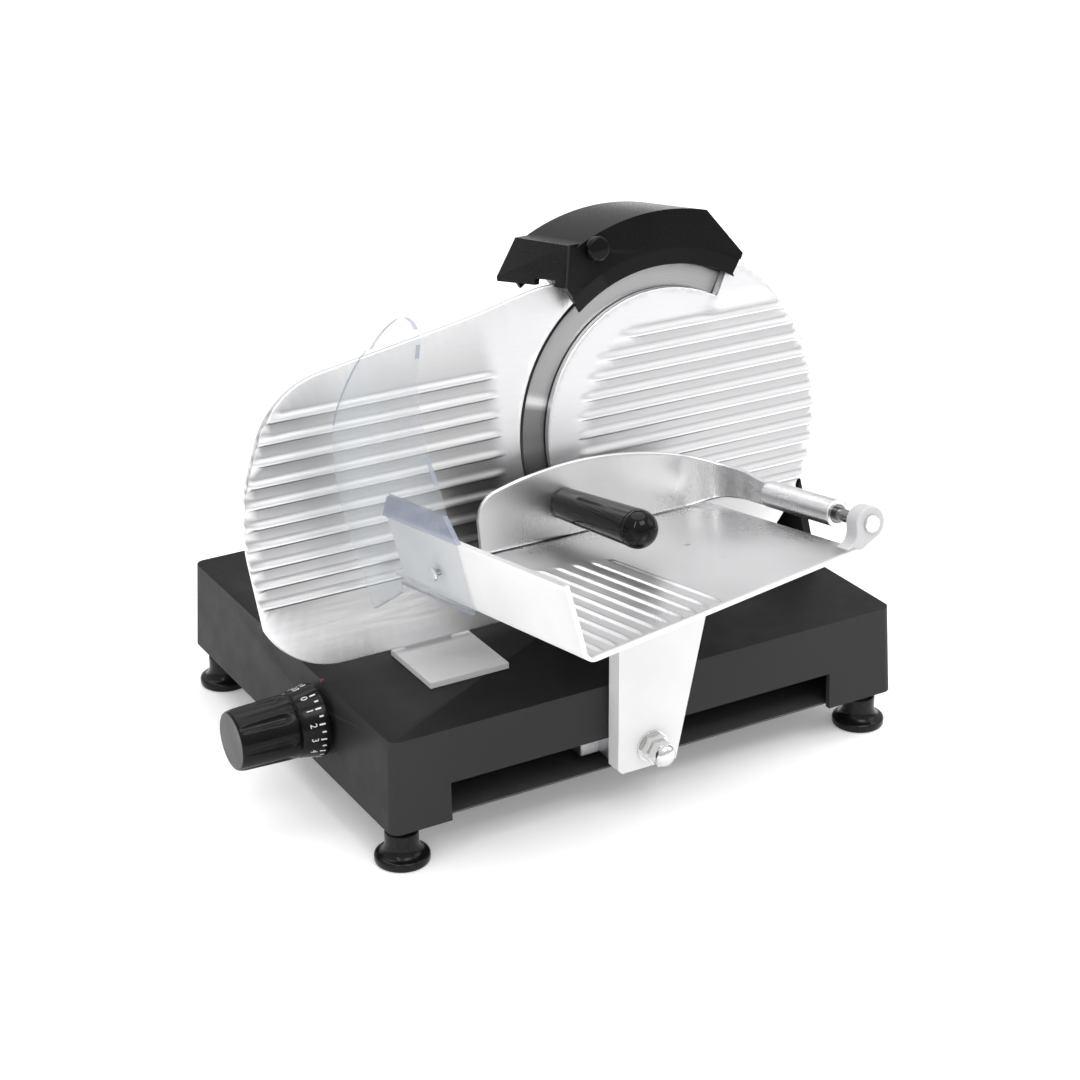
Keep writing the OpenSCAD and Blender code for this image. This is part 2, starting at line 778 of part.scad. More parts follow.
module pusher_plate() {
    color([0.78, 0.78, 0.78]) blade_frame() difference() {
        intersection() {
            translate([0, 120, 0]) rotate([90, 0, 0]) linear_extrude(300) pusher_plan();
            // arched upper edge that drops to the sleeve
            translate([0, 0, -1]) linear_extrude(200) polygon(concat(
                [[push_left, tray_top + 0.6]], arc(push_left + 13, tray_top + 28, 13, 180, 105, 6),
                arc(-82, tray_top + pusher_h - arch_r, arch_r, 104.5, 70, 24),
                [[rod_x + 12, rod_y + 8], [rod_x + 12, rod_y - 8], [rod_x - 12, rod_y - 9],
                    [0, tray_top + 0.6]]));
        }
        translate([handle_x, handle_y, 0]) cylinder(r = 4 + run_fit, h = 60);
    }
}

module pusher_sleeve() {
    color([0.75, 0.75, 0.75]) blade_frame() translate([rod_x, rod_y, sleeve_back + 6]) difference() {
        cylinder(r = sleeve_r, h = sleeve_l - 6);
        translate([0, 0, 1.5]) cylinder(r = bush_r + run_fit, h = sleeve_l);
    }
}

// Lining that slides on the rod while the pusher swings round it
module pusher_bush() {
    color("gray") blade_frame() translate([rod_x, rod_y, sleeve_back + sleeve_l - bush_l - 0.5]) difference() {
        cylinder(r = bush_r, h = bush_l);
        translate([0, 0, -1]) cylinder(r = rod_r + run_fit, h = bush_l + 2);
    }
}

module pusher_handle() {
    color([0.03, 0.03, 0.03]) blade_frame() translate([handle_x, handle_y, push_back]) {
        cylinder(r = 4, h = push_t + 1);
        translate([0, 0, push_t]) rotate_extrude() polygon(concat(
            [[0, 0], [10.2, 0], [10.8, 1.5], [12.6, handle_l - 14]], arc(0, handle_l - 12.6, 12.6, 0, 90, 10)));
        }
}

// ---------- rotating drive ----------
module blade() {
    color([0.6, 0.6, 0.62]) blade_frame() difference() {
        rotate_extrude($fn = 180) polygon([[hub_r, -4.4], [68, -4.4], [80, -3], [90, -1.2],
            [blade_r - 1.2, -0.4], [blade_r, -0.8], [blade_r - 0.6, -1.5], [92, -4], [80, -5.8],
            [68, -7], [hub_r, -7]]);
        for (a = [0:120:240]) rotate(a) translate([hub_screw_pcr, 0, -20]) cylinder(r = 2.6, h = 30);
    }
}

module blade_pulley() {
    color("dimgray") blade_frame() difference() {
        union() {
            translate([0, 0, pulley_front - pulley_w]) cylinder(r = pulley_r, h = pulley_w);
            translate([0, 0, pulley_front - eps]) cylinder(r = 38, h = -7 - pulley_front + eps);
            translate([0, 0, -7 - eps]) cylinder(r = hub_r - run_fit, h = 2.6);
        }
        translate([0, 0, -26]) cylinder(r = bearing_r, h = 2 * bearing_w + 2 + 2);
        translate([0, 0, -26]) cylinder(r = 12.5, h = 40);
        for (a = [0:120:240]) rotate(a) translate([hub_screw_pcr, 0, -20]) cylinder(r = 2.45, h = 30);
    }
}

module blade_screws() {
    color("silver") blade_frame() for (a = [0:120:240]) rotate(a)
        translate([hub_screw_pcr, 0, -16]) screw(2.4, 11.6, 4.5, 1.6);
}

module blade_bearings() {
    color("silver") blade_frame() for (z = [-24, -24 + bearing_w + 2]) translate([0, 0, z]) difference() {
        cylinder(r = bearing_r, h = bearing_w);
        translate([0, 0, -1]) cylinder(r = spindle_r, h = bearing_w + 2);
    }
}

module motor_pulley() {
    color("dimgray") blade_frame() translate([motor_x, motor_y, pulley_front - pulley_w]) difference() {
        cylinder(r = motor_pulley_r, h = pulley_w);
        translate([0, 0, -1]) cylinder(r = shaft_r, h = pulley_w + 2);
    }
}

module motor_shaft() {
    color("silver") blade_frame() translate([motor_x, motor_y, motor_front - motor_l + 31])
        cylinder(r = shaft_r, h = pulley_front + 1 - motor_front + motor_l - 31);
}

// ---------- blade cover ----------
cover_back = 0;
cover_t = 4.5;
cover_ribs = 11;
lobe_low = -98;
lobe_high = 61;

module cover_outline() {
    circle(r = cover_r);
    sector(guard_r, lobe_low, lobe_high);
}

module blade_cover() {
    color([0.84, 0.84, 0.84]) above_base(gap) blade_cover_disc();
}

module blade_cover_disc() {
    blade_frame() difference() {
        union() {
            translate([0, 0, cover_back]) linear_extrude(cover_t) cover_outline();
            for (i = [0:cover_ribs - 1]) {
                y = 66 - 12.2 * i;
                intersection() {
                    translate([0, y - 3, cover_back]) cube([150, 6, cover_t + 1.4]);
                    translate([0, 0, cover_back]) linear_extrude(cover_t + 2) cover_outline();
                }
                intersection() {
                    translate([-80, y - 3, cover_back]) cube([81, 6, cover_t + 1.4]);
                    translate([0, 0, cover_back]) linear_extrude(cover_t + 2) circle(r = 72);
                }
            }
            translate([0, 0, -5]) cylinder(r = 10, h = 8);
        }
        translate([0, 0, -8]) cylinder(r = tie_r, h = 12);
    }
}

module cover_tie_rod() {
    color("silver") blade_frame() translate([0, 0, column_back - 12])
        cylinder(r = tie_r - 0.02, h = 3.9 - column_back + 12);
}

module cover_knob() {
    color([0.06, 0.06, 0.06]) blade_frame() translate([0, 0, column_back - 3.5]) mirror([0, 0, 1]) difference() {
        union() {
            cylinder(r = 9, h = 6);
            translate([0, 0, 6 - eps]) rotate_extrude() polygon([[0, 0], [15, 0], [17, 2], [17, 12], [15, 14], [0, 14.5]]);
        }
        for (a = [0:45:315]) rotate(a) translate([19, 0, 5]) cylinder(r = 4, h = 20, $fn = 32);
        translate([0, 0, -1]) cylinder(r = tie_r, h = 9.5);
    }
}

// ---------- sharpener ----------
module sharpener_outline() {
    polygon(concat([[-66, 92]], [[-74, 106], [-69, 133]],
        arc(0, 0, sharp_top_r, 116, 75, 16), [[64, 108], [57, 95]],
        arc(0, 0, sharp_low_r + 2.2, 58, 126, 20)));
}

module sharpener_inner() {
    polygon(concat([[-70, 106], [-66, 130]],
        arc(0, 0, sharp_top_r - sharp_t, 115.5, 76, 16), [[59, 108], [53, 95]],
        [[40, 80], [-62, 80]]));
}

// Wedge of the hood between two planes, set in from the outer faces
module flared_end(inset, back, front) {
    low = inset > 0 ? 80 : 106;
    hull() {
        translate([0, 0, back]) linear_extrude(eps) polygon([[-69 + inset, 133 - inset],
            [-86 + inset, 109 - inset], [-86 + inset, low], [-60, low], [-60, 133 - inset]]);
        translate([0, 0, front]) linear_extrude(eps) polygon([[-69 + inset, 133 - inset],
            [-74 + inset, 107 - inset], [-74 + inset, low], [-60, low], [-60, 133 - inset]]);
    }
}

module sharpener_cover() {
    color([0.08, 0.08, 0.08]) blade_frame() difference() {
        union() {
            // hood over the blade's crown
            translate([0, 0, sharp_back]) linear_extrude(sharp_front - sharp_back) difference() {
                sharpener_outline();
                circle(r = ring_r + 8.5);
            }
            // face in front of the blade, bevelled below the crease
            intersection() {
                translate([0, 0, sharp_front - sharp_t - 2.5]) linear_extrude(sharp_t + 2.5) sharpener_outline();
                rotate_extrude() polygon([[90, 8], [sharp_low_r - 1, 8], [sharp_low_r, sharp_front - 4],
                    [sharp_crease_r, sharp_front], [170, sharp_front], [170, 8]]);
            }
            // left end flares out towards the bottom and the back
            flared_end(0, sharp_back, sharp_front - 3);
        }
        translate([0, 0, sharp_back + sharp_t]) linear_extrude(sharp_front - sharp_back - 2 * sharp_t - 2.5)
            sharpener_inner();
        flared_end(sharp_t, sharp_back + sharp_t, sharp_front - sharp_t - 2.5);
        // notch over the gauge plate's upper corner
        translate([-100, 80, gauge_back - gauge_travel - 2]) cube([45, 30.2, gauge_travel - gauge_back + 2 + gap]);
        translate([-51, 129, 0]) cylinder(r = 3 + run_fit, h = 40);
    }
    // carrier that slides on the post and holds the stones
    color("gray") blade_frame() difference() {
        union() {
            translate([post_x - 13, 111.5, post_z - 13]) cube([26, sharp_top_r - sharp_t - 111.5, 26]);
            for (x = [-42, 32]) translate([x - 5, stone_y - 5, sharp_back + sharp_t - eps]) cube([10, 10, 8]);
        }
        translate([post_x, 100, post_z]) rotate([-90, 0, 0]) cylinder(r = post_r + run_fit, h = 42);
    }
}

module sharpener_post() {
    color("silver") blade_frame() translate([post_x, 96, post_z]) rotate([-90, 0, 0]) cylinder(r = post_r, h = 45);
}

module stone(x) {
    blade_frame() translate([x, stone_y, sharp_back + sharp_t + 8.4]) rotate_extrude()
        polygon([[0, 0], [8, 0], [8, 4], [stone_r, 4], [stone_r, 10], [12, 13], [0, 13]]);
}

module sharpener_stone_left() { color([0.75, 0.72, 0.68]) stone(-42); }
module sharpener_stone_right() { color([0.75, 0.72, 0.68]) stone(32); }

module sharpener_knob() {
    color([0.05, 0.05, 0.05]) blade_frame() translate([-51, 129, sharp_front]) {
        translate([0, 0, -10]) cylinder(r = 3, h = 12);
        translate([0, 0, 0.4]) rotate_extrude() polygon([[0, 0], [5, 0], [5, 1], [8, 1.6], [8.2, 5.5], [7, 6.8], [0, 7]]);
    }
}

base_housing();
bottom_cover();
rear_cover_screws();
foot_front_left();
foot_front_right();
foot_rear_left();
foot_rear_right();
foot_studs();
body_column();
blade_housing();
rear_cover();
motor();
motor_screws();
blade_spindle();
drive_belt();
cable_gland();
switch_plate();
on_button();
off_button();
knob_bushing();
gauge_bracket();
gauge_guide_rod();
carriage_rod();
carriage_steady_rod();
rod_brackets();
sharpener_post();
blade();
blade_pulley();
blade_screws();
blade_bearings();
motor_pulley();
motor_shaft();
blade_cover();
cover_tie_rod();
cover_knob();
thickness_knob();
knob_shaft();
thickness_cam();
gauge_plate();
gauge_foot();
gauge_support();
gauge_screws();
carriage_block();
carriage_bushes();
carriage_arm();
clamp_bolt();
meat_tray();
tray_screws();
pusher_rod();
rod_screw();
hand_guard();
guard_screw();
pusher_plate();
pusher_sleeve();
pusher_bush();
pusher_handle();
sharpener_cover();
sharpener_stone_left();
sharpener_stone_right();
sharpener_knob();
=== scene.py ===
"""Deli meat slicer: looks, floor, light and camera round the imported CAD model."""
import json
import math

import bmesh
import bpy
import numpy as np
from mathutils import Matrix, Vector
from mathutils.geometry import delaunay_2d_cdt

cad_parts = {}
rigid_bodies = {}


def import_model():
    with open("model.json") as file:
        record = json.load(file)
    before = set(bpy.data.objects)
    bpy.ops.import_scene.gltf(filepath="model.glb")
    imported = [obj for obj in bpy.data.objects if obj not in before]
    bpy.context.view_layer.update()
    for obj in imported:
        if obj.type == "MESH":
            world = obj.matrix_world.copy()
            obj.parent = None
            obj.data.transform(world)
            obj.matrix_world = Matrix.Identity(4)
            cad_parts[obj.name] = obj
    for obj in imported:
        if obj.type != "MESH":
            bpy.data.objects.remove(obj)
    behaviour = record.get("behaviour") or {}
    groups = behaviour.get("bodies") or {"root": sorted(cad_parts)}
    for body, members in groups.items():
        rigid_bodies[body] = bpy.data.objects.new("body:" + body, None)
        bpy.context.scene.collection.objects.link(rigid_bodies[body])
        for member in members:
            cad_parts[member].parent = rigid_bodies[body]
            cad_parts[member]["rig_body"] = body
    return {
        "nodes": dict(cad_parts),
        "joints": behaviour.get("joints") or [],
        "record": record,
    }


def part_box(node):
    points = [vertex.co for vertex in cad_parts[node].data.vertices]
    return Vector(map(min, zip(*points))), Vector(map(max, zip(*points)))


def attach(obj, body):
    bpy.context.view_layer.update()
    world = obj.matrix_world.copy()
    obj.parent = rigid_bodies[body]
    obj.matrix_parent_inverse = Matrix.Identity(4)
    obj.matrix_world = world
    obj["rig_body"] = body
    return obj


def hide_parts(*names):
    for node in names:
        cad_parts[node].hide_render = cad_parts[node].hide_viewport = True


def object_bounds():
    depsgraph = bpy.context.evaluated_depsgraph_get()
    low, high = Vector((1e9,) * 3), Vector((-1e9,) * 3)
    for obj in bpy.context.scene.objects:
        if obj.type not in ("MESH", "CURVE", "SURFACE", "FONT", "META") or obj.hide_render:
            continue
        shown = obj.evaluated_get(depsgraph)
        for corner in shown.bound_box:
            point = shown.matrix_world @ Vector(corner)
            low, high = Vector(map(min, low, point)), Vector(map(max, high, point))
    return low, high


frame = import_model()
cad_low, cad_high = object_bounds()

MM = 0.001
nodes = frame["nodes"]
joints = {j["name"]: j for j in frame["joints"]}
slot_of = {s["node"]: s["material_slot"] for s in frame["record"]["subparts"]}
body_of = {n: o["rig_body"] for n, o in nodes.items()}

# ---------- the blade frame: X across, Y up the tilted plane, Z towards the operator ----------
blade_centre = Vector(joints["blade_spin"]["pos_m"])
blade_normal = Vector(joints["blade_spin"]["axis"]).normalized()
blade_up = blade_normal.cross(Vector((1, 0, 0))).normalized()
BLADE = Matrix((
    (1, blade_up.x, blade_normal.x, blade_centre.x),
    (0, blade_up.y, blade_normal.y, blade_centre.y),
    (0, blade_up.z, blade_normal.z, blade_centre.z),
    (0, 0, 0, 1),
)) @ Matrix.Scale(MM, 4)
TO_BLADE = BLADE.inverted()


def blade_box(node):
    """Lowest and highest corner of a CAD node in the blade frame, in millimetres."""
    points = np.array([TO_BLADE @ v.co for v in nodes[node].data.vertices])
    return Vector(points.min(0)), Vector(points.max(0))


def smoothstep(a, b, x):
    t = max(0.0, min(1.0, (x - a) / (b - a)))
    return t * t * (3 - 2 * t)


# ---------- materials ----------
class Surface:
    """A Principled material with helpers for the procedural layers on it."""

    def __init__(self, name):
        self.mat = bpy.data.materials.new(name)
        self.mat.use_nodes = True
        self.tree = self.mat.node_tree
        self.shader = self.tree.nodes["Principled BSDF"]
        self.coords = self.add("ShaderNodeTexCoord").outputs["Object"]

    def add(self, kind, **values):
        node = self.tree.nodes.new(kind)
        for key, value in values.items():
            setattr(node, key, value)
        return node

    def link(self, a, b):
        self.tree.links.new(a, b)

    def noise(self, scale, detail=3.0, stretch=(1, 1, 1), turn=(0, 0, 0), rough=0.5):
        mapping = self.add("ShaderNodeMapping")
        mapping.inputs["Scale"].default_value = stretch
        mapping.inputs["Rotation"].default_value = turn
        self.link(self.coords, mapping.inputs["Vector"])
        node = self.add("ShaderNodeTexNoise")
        node.inputs["Scale"].default_value = scale
        node.inputs["Detail"].default_value = detail
        node.inputs["Roughness"].default_value = rough
        self.link(mapping.outputs["Vector"], node.inputs["Vector"])
        return node.outputs["Fac"]

    def spread(self, value, low, high, start=0.3, end=0.7):
        node = self.add("ShaderNodeMapRange")
        node.inputs["From Min"].default_value = start
        node.inputs["From Max"].default_value = end
        node.inputs["To Min"].default_value = low
        node.inputs["To Max"].default_value = high
        self.link(value, node.inputs["Value"])
        return node.outputs["Result"]

    def blend_colour(self, factor, a, b):
        node = self.add("ShaderNodeMix", data_type="RGBA")
        self.link(factor, node.inputs["Factor"])
        for socket, colour in ((node.inputs["A"], a), (node.inputs["B"], b)):
            if isinstance(colour, tuple):
                socket.default_value = (*colour, 1)
            else:
                self.link(colour, socket)
        return node.outputs["Result"]

    def bump(self, layers):
        """Stacks (height, distance in metres, strength) layers into the normal."""
        last = None
        for height, distance, strength in layers:
            node = self.add("ShaderNodeBump")
            node.inputs["Distance"].default_value = distance
            node.inputs["Strength"].default_value = strength
            self.link(height, node.inputs["Height"])
            if last:
                self.link(last, node.inputs["Normal"])
            last = node.outputs["Normal"]
        self.link(last, self.shader.inputs["Normal"])

    def set(self, **values):
        for key, value in values.items():
            self.shader.inputs[key.replace("_", " ")].default_value = value

    def colour(self, output):
        self.link(output, self.shader.inputs["Base Color"])

    def roughness(self, output):
        self.link(output, self.shader.inputs["Roughness"])


def shade(colour, factor):
    return tuple(c * factor for c in colour)


def worn_edges(s, low, high):
    """0 on flat faces and 1 on sharp outer edges."""
    point = s.add("ShaderNodeNewGeometry").outputs["Pointiness"]
    return s.spread(point, 0, 1, low, high)


def paint(name, colour, rough, peel=0.25, edge=2.2, ior=1.4, speck=1.7):
    """Sprayed enamel: orange peel, faint dust and slightly rubbed edges."""
    s = Surface(name)
    clouds = s.noise(14, 4)
    dust = s.noise(420, 2)
    base = s.blend_colour(s.spread(clouds, 0, 1), shade(colour, 0.94), shade(colour, 1.06))
    base = s.blend_colour(s.spread(dust, 0, 0.35, 0.62, 0.8), base, shade(colour, speck))
    base = s.blend_colour(worn_edges(s, 0.53, 0.62), base, shade(colour, edge))
    s.colour(base)
    s.roughness(s.spread(s.noise(60, 4), rough - 0.05, rough + 0.08))
    s.bump([(s.noise(900, 2), 0.00008, peel), (dust, 0.00004, 0.2)])
    s.set(IOR=ior)
    return s.mat


def metal(name, colour, rough, grain=(1, 1, 1), grain_scale=900, depth=0.25,
          stain=0.08, scratch=0.2, brush=0.1):
    """Bare metal: brushing along one direction, fine scratches and cloudy handling marks."""
    s = Surface(name)
    brushing = s.noise(grain_scale, 3, grain)
    clouds = s.noise(9, 5)
    scratches = s.noise(130, 2, (1, 14, 3), (0.4, 0.7, 0.3))
    base = s.blend_colour(s.spread(clouds, 0, 1), shade(colour, 1 - stain), colour)
    base = s.blend_colour(s.spread(brushing, 0, 0.5), base, shade(colour, 1 - brush))
    s.colour(base)
    s.set(Metallic=1.0)
    mixed = s.add("ShaderNodeMath", operation="ADD")
    s.link(s.spread(clouds, rough * 0.8, rough * 1.2), mixed.inputs[0])
    s.link(s.spread(brushing, -0.3 * brush, 0.5 * brush), mixed.inputs[1])
    s.roughness(mixed.outputs[0])
    s.bump([(brushing, 0.00003, depth), (s.spread(scratches, 0, 1, 0.66, 0.74), 0.00002, scratch)])
    return s.mat


def gloss(name, colour, rough, ior=1.45):
    """Moulded glossy plastic: slow waviness, hairline scratches and fingermarks."""
    s = Surface(name)
    marks = s.noise(45, 5)
    hair = s.noise(240, 2, (1, 22, 2), (0.3, 1.1, 0.5))
    s.colour(s.blend_colour(s.spread(marks, 0, 1), shade(colour, 0.85), shade(colour, 1.25)))
    s.roughness(s.spread(marks, rough * 0.7, rough * 1.5))
    s.bump([(s.noise(70, 2), 0.0002, 0.06), (s.spread(hair, 0, 1, 0.68, 0.74), 0.00002, 0.25)])
    s.set(IOR=ior)
    return s.mat


def matte(name, colour, rough, texture=700, depth=0.4, edge=1.8, ior=1.4):
    """Textured plastic or rubber: fine spark-eroded grain and lighter rubbed edges."""
    s = Surface(name)
    grain = s.noise(texture, 3)
    clouds = s.noise(20, 4)
    base = s.blend_colour(s.spread(clouds, 0, 1), shade(colour, 0.88), shade(colour, 1.15))
    base = s.blend_colour(worn_edges(s, 0.53, 0.64), base, shade(colour, edge))
    s.colour(base)
    s.roughness(s.spread(grain, rough - 0.06, rough + 0.06))
    s.bump([(grain, 0.0001, depth)])
    s.set(IOR=ior)
    return s.mat


def ribbed_aluminium(name, colour, rough):
    """Satin anodised sheet: fine linishing and soft clouds, darkened where a point attribute holds painted
    shade and painted reflection.
    """
    s = Surface(name)
    across = s.noise(600, 3, (0.06, 1, 1))
    clouds = s.noise(7, 4)
    base = s.blend_colour(s.spread(clouds, 0, 1), shade(colour, 0.94), colour)
    base = s.blend_colour(s.spread(across, 0, 0.4), base, shade(colour, 0.93))
    crease = s.add("ShaderNodeAttribute", attribute_name="crease").outputs["Fac"]
    # painted shade: the colour darkens to 0.16 of itself where the stored attribute is 1
    base = s.blend_colour(crease, base, shade(colour, 0.16))
    s.colour(base)
    s.set(Metallic=0.85)
    s.roughness(s.spread(across, rough - 0.04, rough + 0.07))
    s.bump([(across, 0.00003, 0.25), (s.noise(1500, 2), 0.00002, 0.15)])
    return s.mat


def blade_steel(name):
    """Circular-ground steel with a painted reflection round the axis, in an object whose Z is the blade's
    axis.
    """
    s = Surface(name)
    split = s.add("ShaderNodeSeparateXYZ")
    s.link(s.coords, split.inputs[0])
    radius = s.add("ShaderNodeVectorMath", operation="LENGTH")
    s.link(s.coords, radius.inputs[0])
    rings = s.add("ShaderNodeTexNoise", noise_dimensions="1D")
    rings.inputs["Scale"].default_value = 2600
    rings.inputs["Detail"].default_value = 3
    s.link(radius.outputs["Value"], rings.inputs["W"])
    flipped = []
    for axis in ("Y", "X"):
        node = s.add("ShaderNodeMath", operation="MULTIPLY")
        node.inputs[1].default_value = -1
        s.link(split.outputs[axis], node.inputs[0])
        flipped.append(node.outputs[0])
    angle = s.add("ShaderNodeMath", operation="ARCTAN2")
    s.link(flipped[0], angle.inputs[0])
    s.link(flipped[1], angle.inputs[1])
    # painted reflection: light and dark wedges round the axis, with a narrow painted highlight, laid on the
    # ground steel: angle from -X in degrees, brightness
    painted_reflection_wedges = ((-180, 0.3), (-120, 0.42), (-60, 0.42), (-21.5, 0.42), (-18.8, 1.0), (-16, 0.27), (-5, 0.22),
              (0, 0.28), (6, 0.22), (10, 0.08), (40, 0.1), (90, 0.35), (180, 0.3))
    ramp = s.add("ShaderNodeValToRGB")
    stops = ramp.color_ramp.elements
    while len(stops) < len(painted_reflection_wedges):
        stops.new(0.5)
    for stop, (degrees, value) in zip(stops, painted_reflection_wedges):
        stop.position = (degrees + 180) / 360
        stop.color = (value, value, value * 1.01, 1)
    s.link(s.spread(angle.outputs[0], 0, 1, -math.pi, math.pi), ramp.inputs["Fac"])
    tint = s.add("ShaderNodeMix", data_type="RGBA", blend_type="MULTIPLY")
    tint.inputs["Factor"].default_value = 1.0
    s.link(ramp.outputs["Color"], tint.inputs["A"])
    s.link(s.blend_colour(s.spread(rings.outputs["Fac"], 0, 1), (1, 1, 1), (0.8, 0.8, 0.8)), tint.inputs["B"])
    s.colour(tint.outputs["Result"])
    s.set(Metallic=1.0, Anisotropic=0.5)
    s.roughness(s.spread(rings.outputs["Fac"], 0.3, 0.42))
    tangent = s.add("ShaderNodeTangent", direction_type="RADIAL", axis="Z")
    s.link(tangent.outputs["Tangent"], s.shader.inputs["Tangent"])
    s.bump([(rings.outputs["Fac"], 0.00002, 0.3)])
    return s.mat


def clear_plastic(name, colour, alpha, rough, ior=1.5):
    """Clear polycarbonate: faint haze, wipe marks and slightly uneven faces."""
    s = Surface(name)
    haze = s.noise(30, 4)
    wipes = s.noise(160, 2, (1, 9, 3), (0.9, 0.2, 0.4))
    s.colour(s.blend_colour(s.spread(haze, 0, 1), colour, shade(colour, 0.93)))
    s.roughness(s.spread(haze, rough, rough * 2.2))
    s.link(s.spread(haze, alpha * 0.85, alpha * 1.2), s.shader.inputs["Alpha"])
    s.bump([(s.noise(26, 2), 0.0006, 0.08), (s.spread(wipes, 0, 1, 0.66, 0.76), 0.00002, 0.2)])
    s.set(IOR=ior)
    return s.mat


def abrasive(name):
    """Grinding stone: coarse grit in three greys."""
    s = Surface(name)
    grit = s.noise(2200, 2)
    base = s.blend_colour(s.spread(grit, 0, 1, 0.4, 0.6), (0.42, 0.39, 0.35), (0.74, 0.7, 0.64))
    s.colour(base)
    s.roughness(s.spread(grit, 0.85, 1.0))
    s.bump([(grit, 0.0003, 0.8)])
    return s.mat


BLACK = (0.017, 0.017, 0.0174)
ALUMINIUM = (0.86, 0.86, 0.87)
MATERIALS = {
    "black_paint": paint("black_paint", BLACK, 0.4, ior=1.13),
    "dark_sheet": paint("dark_sheet", (0.05, 0.05, 0.052), 0.5),
    "zinc_steel": metal("zinc_steel", (0.78, 0.78, 0.77), 0.2, grain_scale=500),
    "black_foot": gloss("black_foot", (0.006, 0.006, 0.0065), 0.16, ior=1.3),
    "motor_grey": paint("motor_grey", (0.2, 0.21, 0.22), 0.45),
    "ground_steel": metal("ground_steel", (0.66, 0.66, 0.67), 0.2, (8, 1, 1)),
    "dark_rod": metal("dark_rod", (0.25, 0.24, 0.235), 0.22, (1, 8, 8)),
    "belt_rubber": matte("belt_rubber", (0.02, 0.02, 0.02), 0.8),
    "black_plastic": matte("black_plastic", (0.02, 0.02, 0.021), 0.5),
    "green_button": gloss("green_button", (0.02, 0.3, 0.07), 0.25),
    "red_button": gloss("red_button", (0.5, 0.02, 0.02), 0.25),
    "blade_steel": blade_steel("blade_steel"),
    "cast_aluminium": metal("cast_aluminium", (0.62, 0.62, 0.63), 0.42, grain_scale=350, depth=0.5),
    "satin_aluminium": ribbed_aluminium("satin_aluminium", ALUMINIUM, 0.34),
    "coated_aluminium": paint("coated_aluminium", (0.78, 0.78, 0.785), 0.4, edge=1.1, speck=1.02),
    "polished_aluminium": metal("polished_aluminium", (0.8, 0.8, 0.805), 0.3, (1, 0.08, 0.08), depth=0.02,
                                stain=0.14, scratch=0.0, brush=0.03),
    "bronze": metal("bronze", (0.6, 0.4, 0.18), 0.4, grain_scale=400),
    "black_bakelite": gloss("black_bakelite", (0.004, 0.004, 0.0044), 0.09, ior=1.27),
    "clear_polycarbonate": clear_plastic("clear_polycarbonate", (0.46, 0.51, 0.54), 0.15, 0.04),
    "sharpener_black": matte("sharpener_black", (0.007, 0.007, 0.0073), 0.24, depth=0.06, ior=1.16),
    "grit": abrasive("grit"),
}
# painted shade on the clear guard: a denser grey-blue on its side and bend faces and a near-opaque dark on
# its rounded edges, for the light bent at its clear edges
GUARD_SIDE_PAINTED_SHADE = clear_plastic("guard_side_painted_shade", (0.3, 0.33, 0.4), 0.7, 0.2, ior=1.2)
GUARD_EDGE_PAINTED_SHADE = clear_plastic("guard_edge_painted_shade", (0.05, 0.06, 0.08), 0.9, 0.2, ior=1.1)
# painted sheen: the knob's flat end gets a lighter grey than the black knob, for the light it catches
KNOB_END_PAINTED_SHEEN = paint("knob_end_painted_sheen", (0.06, 0.06, 0.062), 0.4, ior=1.25)
KNOB_BLACK = gloss("knob_black", (0.004, 0.004, 0.0044), 0.18, ior=1.25)
LUG_SILVER = paint("lug_silver", (0.5, 0.5, 0.51), 0.35, speck=1.02, edge=1.1)
INDEX_RED = paint("index_red", (0.1, 0.01, 0.014), 0.4, edge=1.2)
DIAL_WHITE = paint("dial_white", (0.75, 0.75, 0.73), 0.5, edge=1.0)


# ---------- mesh helpers ----------
def finish_mesh(obj, smooth_angle):
    obj.data.shade_smooth()
    obj.data.set_sharp_from_angle(angle=math.radians(smooth_angle))
    weighted = obj.modifiers.new("normals", "WEIGHTED_NORMAL")
    weighted.keep_sharp = True
    weighted.weight = 60


def new_piece(name, verts, faces, slot, body, replaced=(), matrix=BLADE, smooth_angle=40, extra=()):
    """A mesh piece from points in matrix's space, riding on a body and standing for CAD nodes."""
    mesh = bpy.data.meshes.new(name)
    mesh.from_pydata([matrix @ Vector(v) for v in verts], [], faces)
    bm = bmesh.new()
    bm.from_mesh(mesh)
    bmesh.ops.remove_doubles(bm, verts=bm.verts, dist=1e-6)
    bmesh.ops.recalc_face_normals(bm, faces=bm.faces)
    bm.to_mesh(mesh)
    bm.free()
    obj = bpy.data.objects.new(name, mesh)
    bpy.context.scene.collection.objects.link(obj)
    mesh.materials.append(MATERIALS[slot])
    for material in extra:
        mesh.materials.append(material)
    finish_mesh(obj, smooth_angle)
    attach(obj, body)
    if replaced:
        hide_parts(*replaced)
    return obj


CORNER_ANGLE = 33


def softened(node, bevel, name=None):
    """A CAD node's shape with its edges rounded off, which stands for that node."""
    bm = bmesh.new()
    bm.from_mesh(nodes[node].data)
    bmesh.ops.remove_doubles(bm, verts=bm.verts, dist=2e-6)
    bmesh.ops.dissolve_limit(bm, angle_limit=math.radians(0.3), verts=bm.verts, edges=bm.edges)
    mesh = bpy.data.meshes.new(name or f"{node}_shape")
    bm.to_mesh(mesh)
    bm.free()
    obj = bpy.data.objects.new(name or f"{node}_shape", mesh)
    bpy.context.scene.collection.objects.link(obj)
    mesh.materials.append(MATERIALS[slot_of[node]])
    rounding = obj.modifiers.new("edges", "BEVEL")
    rounding.width = bevel * MM
    rounding.segments = 2
    rounding.limit_method = "ANGLE"
    rounding.angle_limit = math.radians(CORNER_ANGLE)
    finish_mesh(obj, 40)
    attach(obj, body_of[node])
    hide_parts(node)
    return obj


def grid_faces(rows, columns, wrap=False):
    faces = []
    for j in range(rows - 1):
        for i in range(columns if wrap else columns - 1):
            k = (i + 1) % columns
            faces.append((j * columns + i, j * columns + k, (j + 1) * columns + k, (j + 1) * columns + i))
    return faces


